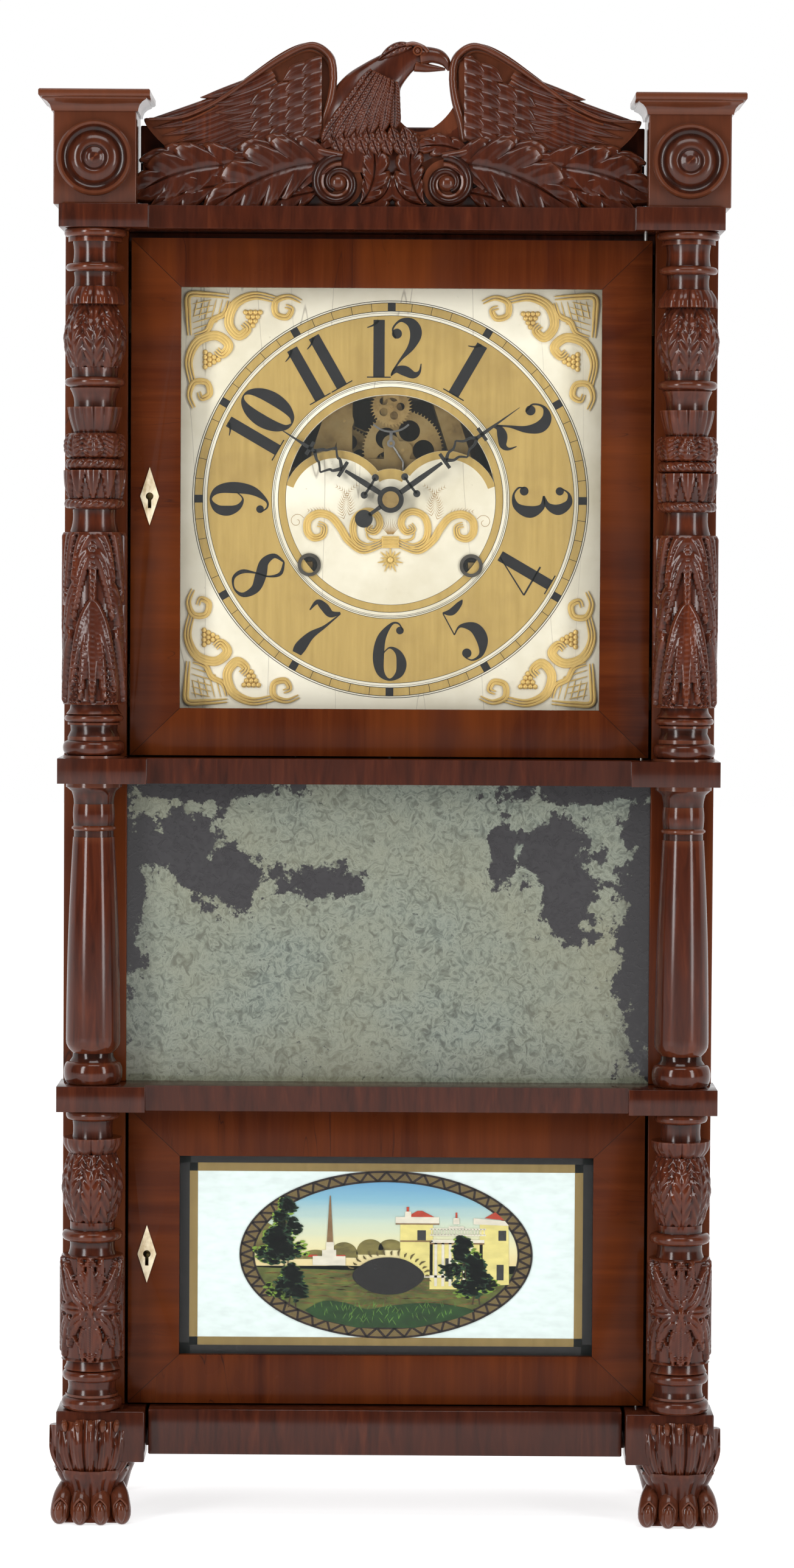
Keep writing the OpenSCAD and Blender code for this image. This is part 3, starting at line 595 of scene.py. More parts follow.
def band_radius(band, t):
    """Radius of one turned band at t, from its bottom (0) to its top (1)."""
    shape, low, high, swell = band[2:6]
    if shape == "round":
        return low + (high - low) * math.sqrt(max(0.0, 1 - (2 * t - 1) ** 2))
    if shape == "cove":
        return low + (high - low) * (1 - math.sqrt(max(0.0, 1 - t * t)))
    return low + (high - low) * t + swell * math.sin(math.pi * t)


def bump(x):
    return math.sqrt(max(0.0, 1 - x * x))


def rope(t, a):
    f = (a * 22 / (2 * math.pi) + t * 1.1) % 1.0
    return 1.3 * (bump(2 * f - 1) - 1)


def flutes(t, a, count=14):
    f = (a * count / (2 * math.pi)) % 1.0
    return 1.5 * (bump(2 * f - 1) - 1) * (0.4 + 0.6 * t)


def skirt(t, a):
    f = abs(2 * ((a * 12 / (2 * math.pi)) % 1.0) - 1)
    drop = 1.9 * (bump(f) - 1)
    rib = -0.5 * math.exp(-(f / 0.12) ** 2)
    return drop * (1 - 0.4 * t) + rib


def pointed_petals(t, a):
    f = abs(2 * ((a * 11 / (2 * math.pi) + 0.5) % 1.0) - 1)
    edge = 1 - 0.75 * (1 - t) ** 1.4
    inside = f < edge
    return (1.2 * bump(f / edge) - 0.4 - 0.5 * math.exp(-(f / 0.1) ** 2)) if inside else -1.5


def leafage(t, a, count=8):
    """Overlapping leaves with a rib, side veins and a turned-out tip."""
    f = abs(2 * ((a * count / (2 * math.pi) + 0.5) % 1.0) - 1)
    width = 0.55 + 0.45 * math.sin(math.pi * min(1, 0.15 + t))
    height = 1.5 * bump(min(1, f / width)) - 1.1
    height -= 0.75 * math.exp(-(f / 0.09) ** 2)
    height += 0.45 * math.cos(2 * math.pi * (t * 5 - f * 1.4)) * min(1, f * 3)
    return height


def strokes_height(u, v, strokes):
    """Height over a field of carved leaf strokes; u is across and v up, both as shares."""
    height = np.full(u.shape, -1.7)
    for (a, b, c, wide, rise) in strokes:
        for sign in ((1, -1) if max(abs(a[0]), abs(b[0]), abs(c[0])) > 0.02 else (1,)):
            best = np.full(u.shape, 9.0)
            for i in range(17):
                t = i / 16
                x = sign * ((1 - t) ** 2 * a[0] + 2 * t * (1 - t) * b[0] + t * t * c[0])
                y = (1 - t) ** 2 * a[1] + 2 * t * (1 - t) * b[1] + t * t * c[1]
                w = wide * (0.35 + 0.65 * math.sin(math.pi * min(1, 0.2 + 0.75 * t)))
                best = np.minimum(best, np.hypot((u - x), (v - y) * 1.75) / w)
            hill = rise * np.sqrt(np.clip(1 - best ** 2, 0,
                                          1)) - 0.45 * rise * np.exp(-(best / 0.16) ** 2) - 0.9
            height = np.maximum(height, np.where(best < 1, hill, -9))
    return height


UPPER_DRUM = [
    ((0, 1.0), (0, 0.8), (0, 0.42), 0.10, 2.2),
    ((0, 0.55), (0.03, 0.3), (0.0, 0.04), 0.13, 2.4),
    ((0.03, 0.5), (0.18, 0.32), (0.26, 0.05), 0.12, 2.2),
    ((0.05, 0.56), (0.36, 0.42), (0.52, 0.1), 0.13, 2.1),
    ((0.10, 0.98), (0.30, 0.95), (0.46, 0.74), 0.13, 2.2),
    ((0.12, 0.86), (0.34, 0.78), (0.44, 0.52), 0.13, 2.3),
    ((0.50, 1.0), (0.72, 0.88), (0.74, 0.62), 0.15, 2.3),
    ((0.46, 0.66), (0.70, 0.55), (0.78, 0.3), 0.14, 2.2),
    ((0.60, 0.40), (0.86, 0.3), (0.92, 0.04), 0.14, 2.1),
    ((0.98, 1.0), (1.05, 0.75), (1.0, 0.45), 0.16, 2.2),
    ((1.0, 0.6), (1.12, 0.4), (1.2, 0.1), 0.16, 2.2),
]
LOWER_DRUM = [
    ((0, 0.62), (0, 0.8), (0, 0.99), 0.12, 2.3),
    ((0, 0.38), (0, 0.2), (0, 0.02), 0.12, 2.3),
    ((0.05, 0.60), (0.22, 0.8), (0.24, 0.98), 0.12, 2.2),
    ((0.05, 0.40), (0.22, 0.2), (0.16, 0.03), 0.11, 2.2),
    ((0.12, 0.56), (0.45, 0.66), (0.62, 0.92), 0.15, 2.3),
    ((0.12, 0.44), (0.42, 0.42), (0.52, 0.16), 0.14, 2.3),
    ((0.20, 0.50), (0.5, 0.52), (0.8, 0.5), 0.12, 2.0),
    ((0.55, 0.60), (0.8, 0.72), (0.88, 0.96), 0.15, 2.2),
    ((0.55, 0.40), (0.8, 0.3), (0.74, 0.06), 0.15, 2.2),
    ((1.0, 0.9), (1.1, 0.5), (1.0, 0.1), 0.18, 2.2),
]


def drum_relief(style, t, a):
    """Height of a carved drum at each point (arrays of t and angle)."""
    if style == "upper_drum":
        height = strokes_height(a / DRUM_HALF_ANGLE, t, UPPER_DRUM)
        x = a * COLUMN_RADIUS / 3.1
        p = np.abs((x + t * 22) % 1.0 - 0.5)
        q = np.abs((x - t * 22) % 1.0 - 0.5)
        hatch = np.where(np.minimum(p, q) < 0.16, -0.9, 0.2)
        wedge = (t < 0.30) & (np.abs(a) > 0.46) & (np.abs(a) < 0.95 - t * 1.4)
        return np.where(wedge & (height < -1.2), hatch, height)
    height = strokes_height(a / DRUM_HALF_ANGLE, t, LOWER_DRUM)
    far = np.hypot(a / DRUM_HALF_ANGLE, (t - 0.5) * 1.1)
    petals = np.abs(np.sin(np.arctan2((t - 0.5) * 1.1, a / DRUM_HALF_ANGLE) * 3))
    rosette = 2.2 - 1.3 * petals - 2.0 * far
    button = 2.4 * np.sqrt(np.clip(1 - (far / 0.075) ** 2, 0, 1)) + 0.6
    height = np.where(far < 0.17, rosette, height)
    height = np.where(far < 0.075, np.maximum(height, button), height)
    frame_line = np.abs(np.abs(a / DRUM_HALF_ANGLE) * 0.62 + np.abs(t - 0.5) * 1.0 - 0.5)
    return np.where(frame_line < 0.022, np.maximum(height, 0.9), height)


RELIEF = {"rope": rope, "flutes": flutes, "skirt": skirt, "petals": pointed_petals, "leafage": leafage}

# Each band: bottom and top height, shape, radius at the bottom (or edge), at the top (or crown), swell, carving
UPPER_BANDS = [
    (0, 1.6, "line", 19.6, 19.6, 0, None), (1.6, 11.2, "round", 16.4, 19.7, 0, None),
    (11.2, 13.6, "line", 16.6, 16.6, 0, None), (13.6, 21, "line", 16.4, 15.0, -1.0, None),
    (21, 22.4, "line", 16.6, 16.6, 0, None), (22.4, 27.8, "round", 15.6, 18.6, 0, None),
    (27.8, 33.6, "line", 17.6, 14.9, -0.8, None), (34, 142.7, "line", 19.6, 19.6, 0, "upper_drum"),
    (143.2, 157, "line", 15.4, 13.9, -0.8, None), (157.6, 164, "round", 16.4, 19.3, 0, "rope"),
    (164.2, 181.8, "line", 17.0, 19.2, 0.6, "petals"), (182.2, 189.4, "round", 15.8, 18.9, 0, "rope"),
    (189.6, 205.4, "round", 15.8, 19.3, 0, "leafage"), (205.6, 221.6, "line", 13.2, 17.4, 0.6, "flutes"),
    (222, 233.6, "line", 13.2, 15.9, -1.0, None), (234.2, 240.6, "round", 15.4, 19.0, 0, None),
    (240.8, 246.4, "line", 14.4, 14.8, 0, None), (246.6, 285.8, "line", 15.1, 13.5, 5.2, "leafage"),
    (286.4, 297.4, "line", 19.2, 15.1, 1.2, "skirt"), (297.8, 306.6, "line", 13.6, 13.6, -0.5, None),
    (306.8, 312.4, "round", 15.2, 18.6, 0, None), (312.6, 325.6, "line", 14.2, 14.2, -0.7, None),
    (325.6, 328.6, "line", 17.0, 17.0, 0, None), (328.6, 334.2, "round", 17.4, 19.7, 0, None),
]
MIDDLE_BANDS = [
    (0, 14.6, "round", 15.6, 18.6, 0, None), (14.6, 20, "line", 15.0, 12.9, -0.8, None),
    (20, 28.2, "line", 13.4, 17.2, 1.2, None), (28.2, 157.6, "line", 17.2, 13.3, 0.9, None),
    (157.6, 161.6, "line", 12.7, 12.7, 0, None), (161.6, 165, "round", 13.0, 14.2, 0, None),
    (165, 178.6, "line", 12.9, 12.9, 0.5, None), (178.6, 189.2, "cove", 12.8, 17.4, 0, None),
    (189.2, 192, "line", 17.7, 17.7, 0, None),
]
LOWER_BANDS = [
    (0, 8.8, "round", 16.0, 19.4, 0, None), (8.8, 10.4, "line", 16.8, 16.8, 0, None),
    (10.4, 18, "line", 15.9, 15.4, -0.6, None), (18.4, 25.9, "round", 15.4, 18.7, 0, None),
    (26.2, 31.7, "line", 17.8, 16.0, -0.5, None), (32.4, 99, "line", 19.6, 19.6, 0, "lower_drum"),
    (99.6, 107.6, "line", 15.4, 14.4, -0.6, None), (108, 115.4, "round", 15.6, 19.3, 0, None),
    (115.6, 120.4, "line", 14.2, 14.2, 0, None), (120.6, 164, "line", 13.9, 15.1, 4.6, "leafage"),
    (164.2, 174.2, "line", 15.0, 19.0, 1.4, "skirt"), (174.6, 185, "line", 12.9, 12.9, -0.4, None),
    (185.4, 192, "round", 14.2, 17.0, 0, None),
]


def column_pair(name, node, bands, material):
    """Two turned and carved columns, flat at the back where they meet the case."""
    lo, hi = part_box(node)
    top = (hi.z - lo.z) / MM
    scale = top / bands[-1][1]
    axis_x = column_axis_x()
    axis_y = lo.y / MM + COLUMN_RADIUS
    rows = []
    for band in bands:
        span = band[1] - band[0]
        step = 0.75 if band[6] else (1.0 if band[2] == "round" else 3.0)
        count = max(2, round(span / step))
        rows += [(band[0] + span * i / count, band, i / count) for i in range(count + 1)]
    bm = bmesh.new()
    foot = lo.z / MM
    outline = [(0.01, foot)] + [(band_radius(b, t), foot + h * scale) for h, b,
                                t in rows] + [(0.01, foot + top)]
    spun(bm, outline, (axis_x, axis_y, 0), steps=116)
    carve_column(bm, rows, foot, scale, axis_x, axis_y)
    flat = bmesh.ops.bisect_plane(bm, geom=bm.verts[:] + bm.edges[:] + bm.faces[:], plane_co=(0, hi.y, 0),
                                  plane_no=(0, 1, 0), clear_outer=True)
    cut = [g for g in flat["geom_cut"] if isinstance(g, bmesh.types.BMEdge)]
    bmesh.ops.holes_fill(bm, edges=cut, sides=0)
    mirrored(bm)
    return piece(name, bm, material, "case", [node])


def carve_column(bm, rows, foot, scale, axis_x, axis_y):
    """Moves the turned surface in and out by each band's carving."""
    heights = np.array([foot + h * scale for h, _, _ in rows])
    drums = {}
    for vert in bm.verts:
        x, y, z = vert.co.x / MM - axis_x, vert.co.y / MM - axis_y, vert.co.z / MM
        radius = math.hypot(x, y)
        if radius < 1:
            continue
        at = int(np.argmin(np.abs(heights - z)))
        _, band, t = rows[at]
        if abs(radius - band_radius(band, t)) > 0.2 and at + 1 < len(rows):
            _, band, t = rows[at + 1]
        if not band[6]:
            continue
        angle = math.atan2(x, -y)
        if "drum" in band[6]:
            drums.setdefault(band[6], []).append((vert, t, angle, x / radius, y / radius))
            continue
        move = RELIEF[band[6]](t, angle)
        vert.co.x += x / radius * move * MM
        vert.co.y += y / radius * move * MM
    for style, found in drums.items():
        t = np.array([f[1] for f in found])
        angle = np.array([f[2] for f in found])
        back = np.abs(angle) > 2.3
        move = np.where(back, -1.0, drum_relief(style, t, angle))
        move *= np.clip(t / 0.02, 0, 1) * np.clip((1 - t) / 0.02, 0, 1)
        for (vert, _, _, dx, dy), m in zip(found, move):
            vert.co.x += dx * m * MM
            vert.co.y += dy * m * MM


# ---------------------------------------------------------------- flat and moulded work

def smooth_line(points, closed=False, steps=6):
    """A soft curve through points given in millimetres as tuples of any length."""
    pts = [np.array(p, float) for p in points]
    count = len(pts)
    out = []
    for i in range(count if closed else count - 1):
        if closed:
            p0, p1, p2, p3 = (pts[(i + k) % count] for k in (-1, 0, 1, 2))
        else:
            p0, p1, p2, p3 = (pts[min(max(i + k, 0), count - 1)] for k in (-1, 0, 1, 2))
        for k in range(steps):
            t = k / steps
            out.append(0.5 * (2 * p1 + (p2 - p0) * t + (2 * p0 - 5 * p1 + 4 * p2 - p3) * t * t
                              + (3 * p1 - p0 - 3 * p2 + p3) * t ** 3))
    if not closed:
        out.append(pts[-1])
    return out


def limb(bm, spots, steps, y=None, **look):
    """A smooth tapered limb through (x, y, z, radius) spots, or (x, z, radius) spots at one depth y."""
    path = smooth_line(spots, steps=steps)
    route = [Vector(p[:3] if y is None else (p[0], y, p[1])) * MM for p in path]
    tube(bm, route, [p[-1] * MM for p in path], **look)


def plate(bm, outline, y0, y1):
    """A flat shape in the front plane from (x, z) points in millimetres, between two depths."""
    front, back = ([bm.verts.new(Vector((p[0], y, p[1])) * MM) for p in outline] for y in (y0, y1))
    bm.faces.new(front)
    bm.faces.new(back[::-1])
    for i in range(len(outline)):
        bm.faces.new((front[i], front[i - 1], back[i - 1], back[i]))
    return front + back


@apart
def block(bm, lo, hi, rounding=0.0):
    """A box from its lowest and highest corners in millimetres, with rounded edges."""
    made = bmesh.ops.create_cube(bm, size=1)["verts"]
    lo, hi = Vector(lo), Vector(hi)
    for vert in made:
        vert.co = Vector(((lo[i] + hi[i]) / 2 + vert.co[i] * (hi[i] - lo[i]) for i in range(3))) * MM
    if rounding:
        edges = list({e for v in made for e in v.link_edges})
        bmesh.ops.bevel(bm, geom=edges, offset=rounding * MM, segments=3, profile=0.5, affect="EDGES",
                        material=-1)


def strip(bm, sections, closed=False):
    """Joins rows of four corners, given in millimetres, into a bar."""
    rows = [[bm.verts.new(Vector(corner) * MM) for corner in section] for section in sections]
    pairs = list(zip(rows, rows[1:] + ([rows[0]] if closed else [])))
    for near, far in pairs:
        for i in range(4):
            bm.faces.new((near[i - 1], near[i], far[i], far[i - 1]))
    if not closed:
        bm.faces.new(rows[0][::-1])
        bm.faces.new(rows[-1])


def ring(bm, r0, r1, y0, y1, centre=(0, 0), a0=0, a1=360):
    """A flat ring, or part of one, in the front plane; angles in degrees from +X."""
    full = abs(a1 - a0) >= 360
    steps = max(6, int(abs(a1 - a0) / 3))
    sections = []
    for i in range(steps + (not full)):
        a = math.radians(a0 + (a1 - a0) * i / steps)
        sections.append([(centre[0] + r * math.cos(a), y, centre[1] + r * math.sin(a))
                         for r, y in ((r0, y0), (r1, y0), (r1, y1), (r0, y1))])
    strip(bm, sections, full)


def brush(bm, points, y0, y1, steps=6):
    """A painted stroke whose width changes: points are (x, z, width) in millimetres."""
    line = smooth_line(points, steps=steps)
    sections = []
    for i, p in enumerate(line):
        way = line[min(i + 1, len(line) - 1)][:2] - line[max(i - 1, 0)][:2]
        side = np.array([-way[1], way[0]]) / max(1e-9, math.hypot(*way)) * max(p[2], 0.02) / 2
        left, right = p[:2] + side, p[:2] - side
        sections.append([(left[0], y0, left[1]), (right[0], y0, right[1]), (right[0], y1, right[1]),
                         (left[0], y1, left[1])])
    strip(bm, sections)


def disc(bm, x, z, r, y0, y1, steps=24):
    plate(bm, [(x + r * math.cos(2 * math.pi * i / steps), z + r * math.sin(2 * math.pi * i / steps))
               for i in range(steps)], y0, y1)


def beads(bm, points, y, radius, lines=1, gap=1.5, flat=0.8):
    """Parallel raised beads along a curve of (x, z) points in millimetres."""
    path = smooth_line(points, steps=7)
    for k in range(lines):
        shift = (k - (lines - 1) / 2) * gap
        route = []
        for i, p in enumerate(path):
            way = path[min(i + 1, len(path) - 1)] - path[max(i - 1, 0)]
            side = np.array([-way[1], way[0]]) / max(1e-9, math.hypot(*way))
            q = p + side * shift
            route.append(Vector((q[0], y, q[1])) * MM)
        taper = [radius * MM * min(1,
                                   0.35 + 2.2 * min(i,
                                                    len(route) - 1 - i) / len(route)) for i in range(len(route))]
        tube(bm, route, taper, sides=8, flat=flat)


@apart
def ball(bm, x, y, z, r, squash=1.0):
    made = bmesh.ops.create_uvsphere(bm, u_segments=20, v_segments=12, radius=r * MM)["verts"]
    for vert in made:
        vert.co.y *= squash
    bmesh.ops.translate(bm, vec=Vector((x, y, z)) * MM, verts=made)


# ---------------------------------------------------------------- crest

WING_EDGE = [(-46, 872), (-46, 884), (-39.5, 905), (-36.2, 920), (-37, 931), (-44, 938), (-52, 940.2),
             (-62, 938), (-74, 931.5), (-90, 920), (-106, 908), (-118, 900.5), (-134, 893), (-146, 891.2),
             (-157.5, 891.5), (-151, 881), (-137, 869), (-121, 862), (-100, 858), (-70, 866)]


def wing(bm):
    """The left wing: a rounded rim, rows of scale feathers and two fans of long feathers."""
    made = plate(bm, [tuple(p) for p in smooth_line(WING_EDGE, closed=True, steps=5)], -41, -32)
    front = [e for e in {e for v in made for e in v.link_edges} if all(v.co.y < -40.9 * MM for v in e.verts)]
    bmesh.ops.bevel(bm, geom=front, offset=1.4 * MM, segments=3, profile=0.5, affect="EDGES", material=-1)
    for k in range(10):
        t = k / 9
        root = (-82 + 26 * t ** 1.4, 917 - 41 * t)
        tip = (-157 + 62 * t ** 1.15, 890.4 - 27.5 * math.sin(t * math.pi / 2))
        bend = ((root[0] + tip[0]) / 2 + 6, (root[1] + tip[1]) / 2 - 7 + 4 * t)
        leaf(bm, root, bend, tip, 9.0, -40.6 - 0.30 * k, 2.4, fold=0.12, root_width=0.8, back=-35)
    for k in range(8):
        t = k / 7
        root = (-76 + 20 * t, 921 - 45 * t)
        tip = (-122 + 32 * t, 905 - 34 * t)
        bend = ((root[0] + tip[0]) / 2 + 5, (root[1] + tip[1]) / 2 - 4)
        leaf(bm, root, bend, tip, 8.6, -42.4 - 0.28 * k, 2.4, fold=0.12, root_width=0.85, back=-37)
    for column in range(3, -1, -1):
        for row in range(6):
            x = -50 - column * 10.5
            z = 923 - row * 8.4 - column * 3.6
            if z > 930 + (x + 44) * 0.62:
                continue
            leaf(bm, (x + 5, z + 3), (x, z + 3), (x - 9, z - 4), 10.5, -44.8 - 0.75 * (3 - column), 2.6,
                 fold=0.10, root_width=0.96, back=-38)
    rim = smooth_line([(-45.5, 878), (-43.5, 890), (-39.2, 905), (-37.6, 919), (-39.5, 930), (-47, 937),
                       (-56, 937.2), (-72, 929), (-92, 915.5), (-112, 902), (-133, 892.6), (-154, 891)],
                       steps=6)
    route = [Vector((p[0], -43.5 - 2.5 * math.sin(math.pi * i / len(rim)), p[1])) * MM for i,
             p in enumerate(rim)]
    width = [(3.0 - 2.1 * i / len(rim)) * MM for i in range(len(rim))]
    tube(bm, route, width, sides=10)
    route = [Vector((p[0] - 2.6 * (1 - i / len(rim)), -43.2, p[1] - 3.2)) * MM for i,
             p in enumerate(rim)][12:-6]
    tube(bm, route, 0.8 * MM, sides=6)


def body_and_head(bm):
    """Breast, neck, head and hooked beak, looking to the right."""
    limb(bm, [(-24, 858, 21), (-24, 872, 23), (-22.5, 886, 23.5), (-20, 897, 22.5), (-15.5, 907, 19.5),
                         (-8.5, 916, 15.2), (-1.5, 923, 11.8), (6, 929, 9.8), (13, 932, 8.2),
                         (18, 932, 6.6), (21.5, 931.6, 5.2)], 5, y=-42, sides=26, flat=0.42)
    limb(bm, [(-34, 866, 13), (-14, 867, 15.5), (4, 868.5, 13), (18, 871, 11), (30, 875, 10),
                          (41, 882, 10), (49, 893, 8.5), (52, 906, 7), (52, 918, 6)], 5, y=-40, sides=20,
                          flat=0.5)
    edge = [(-46, 862), (-46.4, 877), (-45.4, 894), (-37, 907.7), (-24.4, 917), (-13, 925), (-2, 922),
            (4.9, 913), (1.8, 904.6), (2.8, 894), (8, 887.4), (15.4, 884), (23, 885.4), (30, 890),
            (36, 896.5), (39.5, 903), (41.6, 913), (41.4, 924), (44, 932), (52, 930), (54, 900), (54, 862)]
    made = plate(bm, [tuple(p) for p in smooth_line(edge, closed=True, steps=5)], -44.5, -33)
    rim = [e for e in {e for v in made for e in v.link_edges} if all(v.co.y < -44.4 * MM for v in e.verts)]
    bmesh.ops.bevel(bm, geom=rim, offset=2.6 * MM, segments=4, profile=0.5, affect="EDGES", material=-1)
    limb(bm, [(17, 932, 6.2), (24, 932.4, 5.0), (29.5, 931, 4.5), (33.4, 927.6, 3.1), (35.2, 922.6, 0.7)],
         5, y=-42.5, sides=14, flat=0.8)
    limb(bm, [(14, 926, 4.2), (21, 924.6, 3.0), (28, 924, 1.8), (33, 923.6, 0.8)], 5, y=-42, sides=12,
         flat=0.8)
    brow = smooth_line([(8, 938.5), (13, 939.2), (19, 937), (22, 934)], steps=5)
    tube(bm, [Vector((p[0], -46.6, p[1])) * MM for p in brow], 1.3 * MM, sides=8)
    ball(bm, 15.4, -47.2, 934.6, 1.9)
    ring(bm, 2.1, 3.1, -48.2, -46.0, centre=(15.4, 934.6))
    leaf(bm, (12, 937.5), (2, 938.5), (-9.5, 928.5), 8, -45, 3, veins=6, back=-38)
    for row in range(5):
        down = row / 4
        for k in range(7):
            t = k / 6
            root = (-13 + 14 * t - 19 * down * (1 - t), 922 - 7 * t - (27 - 12 * t) * down)
            tip = (root[0] - 13 + 12 * t, root[1] - 19 + 3 * t)
            bend = (root[0] - 8 + 9 * t, root[1] - 9)
            leaf(bm, root, bend, tip, 6.4 + 1.4 * down, -50.6 + 11 * (t - 0.45) ** 2 - 0.5 * row, 2.0,
                 veins=9, fold=0.3, root_width=0.6, back=-44)
    for row in range(2):
        for k in range(7):
            x = -40 + k * 7.8 + row * 3.4
            leaf(bm, (x, 886 - row * 6), (x + 1.5, 880 - row * 6), (x + 4.5, 872.5 - row * 4), 8.4,
                 -50.2 - 0.6 * row + 0.1 * abs(k - 3) ** 2, 2.4, veins=4, back=-42)
    for k in range(8):
        x = 12 + k * 3.4
        ring(bm, 0.2, 1.9 - 0.05 * k, -46.5 + 0.25 * k, -41, centre=(x, 879.6 + 0.10 * k * k))


def scroll_leaves(bm):
    """Left half of the acanthus under the bird: a volute, an inner leaf and three spreading leaves."""
    full = dict(back=-33, root_width=0.62, fold=0.5)
    leaf(bm, (-104, 864), (-132, 870), (-155, 866), 17, -42.6, 4.5, lobes=3, **full)
    leaf(bm, (-88, 862), (-128, 864), (-156.5, 847), 35, -44.0, 6, lobes=4, **full)
    leaf(bm, (-98, 850), (-122, 849), (-147, 838.5), 21, -45.0, 5, lobes=3, **full)
    leaf(bm, (-42, 868), (-70, 876), (-106, 861), 25, -44.8, 5.5, lobes=4, **full)
    leaf(bm, (-33, 862), (-66, 868), (-108, 839), 43, -46.2, 7.5, lobes=5, **full)
    leaf(bm, (-46, 846), (-60, 843), (-82, 838), 17, -46.6, 5, lobes=3, **full)
    leaf(bm, (-50, 868), (-34, 878), (-17, 874), 15, -45.6, 5, lobes=3, **full)
    leaf(bm, (-20, 838), (-7, 852), (-13, 877), 19, -46.4, 6, lobes=4, **full)
    leaf(bm, (-22, 838), (-4, 837), (-1.5, 853), 13, -46.0, 4, lobes=2, **full)
    ring(bm, 0.2, 15.5, -49.6, -34, centre=(-34.5, 851))
    coil = spiral(-34.5, 851, -52.0, 16.6, 5.0, 80, 1.45, steps=48)
    stem = [Vector((-62, -47.0, 874)) * MM, Vector((-52, -49.5, 872.6)) * MM,
            Vector((-42, -51.4, 869.4)) * MM]
    width = [1.6 * MM, 2.3 * MM, 2.9 * MM] + [(3.1 - 1.2 * i / 48) * MM for i in range(49)]
    tube(bm, stem + coil, width, sides=12)
    coil = spiral(-34.5, 851, -50.8, 12.4, 3.6, 80, 1.35, steps=40)
    tube(bm, coil, [(1.9 - 0.9 * i / 40) * MM for i in range(41)], sides=8)
    ball(bm, -34.5, -51.0, 851, 5.4, 0.8)


def carve_crest():
    bm = bmesh.new()
    wing(bm)
    scroll_leaves(bm)
    mirrored(bm)
    body_and_head(bm)
    block(bm, (-158, -43, 835.8), (158, -33, 866), 0.6)
    piece("crest_carving", bm, carved_mahogany("crest_mahogany", 1.1, 0.25), "case",
          ["eagle_splat"])


# ---------------------------------------------------------------- chimneys, roundels, ledges and feet

def make_chimneys():
    """Blocks over the columns, each with a moulded cap and a turned roundel."""
    wood = carved_mahogany("chimney_mahogany", 0.9)
    lo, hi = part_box("chimneys")
    roundel_lo, roundel_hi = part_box("roundels")
    x = column_axis_x()
    z = (roundel_lo.z + roundel_hi.z) / 2 / MM
    front = roundel_hi.y / MM
    y = -40
    top = hi.z / MM
    bm = bmesh.new()
    block(bm, (x - 26, y - 26, lo.z / MM), (x + 26, y + 26, top - 12.6), 0.7)
    cap = [(0, top - 13.2), (27.2, top - 13.2), (27.4, top - 11.6), (28.2, top - 9.4), (30.0, top - 7.4),
           (32.6, top - 6.0), (32.8, top - 5.2), (34.4, top - 4.6), (35, top - 3.8), (35, top - 0.8),
           (34.4, top), (0, top)]
    before = set(bm.verts)
    spun(bm, [(r * math.sqrt(2), h) for r, h in cap], (0, 0, 0), steps=4)
    fresh = [v for v in bm.verts if v not in before]
    turn = Matrix.Translation(Vector((x, y + 0.2, 0)) * MM) @ Matrix.Rotation(math.pi / 4, 4, "Z")
    bmesh.ops.transform(bm, matrix=turn, verts=fresh)
    mirrored(bm)
    piece("chimneys_moulded", bm, wood, "case", ["chimneys"])
    bm = bmesh.new()
    rings = [(0.01, 0), (23.8, 0), (23.8, 4.2), (23.4, 5.6), (22.2, 6.6), (20.8, 6.4), (20.0, 5.2),
             (18.6, 3.9), (17.2, 3.6), (15.9, 4.3), (15.2, 5.6), (13.6, 6.9), (11.4, 7.7), (9.4, 8.0),
             (8.2, 7.6), (7.6, 6.9), (6.9, 6.8), (6.2, 7.4), (5.2, 7.7), (4.4, 8.1), (3.4, 8.7),
             (1.8, 8.95), (0.01, 9.0)]
    spun(bm, rings, (x, front, z), axis=(0, -1, 0), steps=72)
    mirrored(bm)
    piece("roundels_turned", bm, wood, "case", ["roundels"])


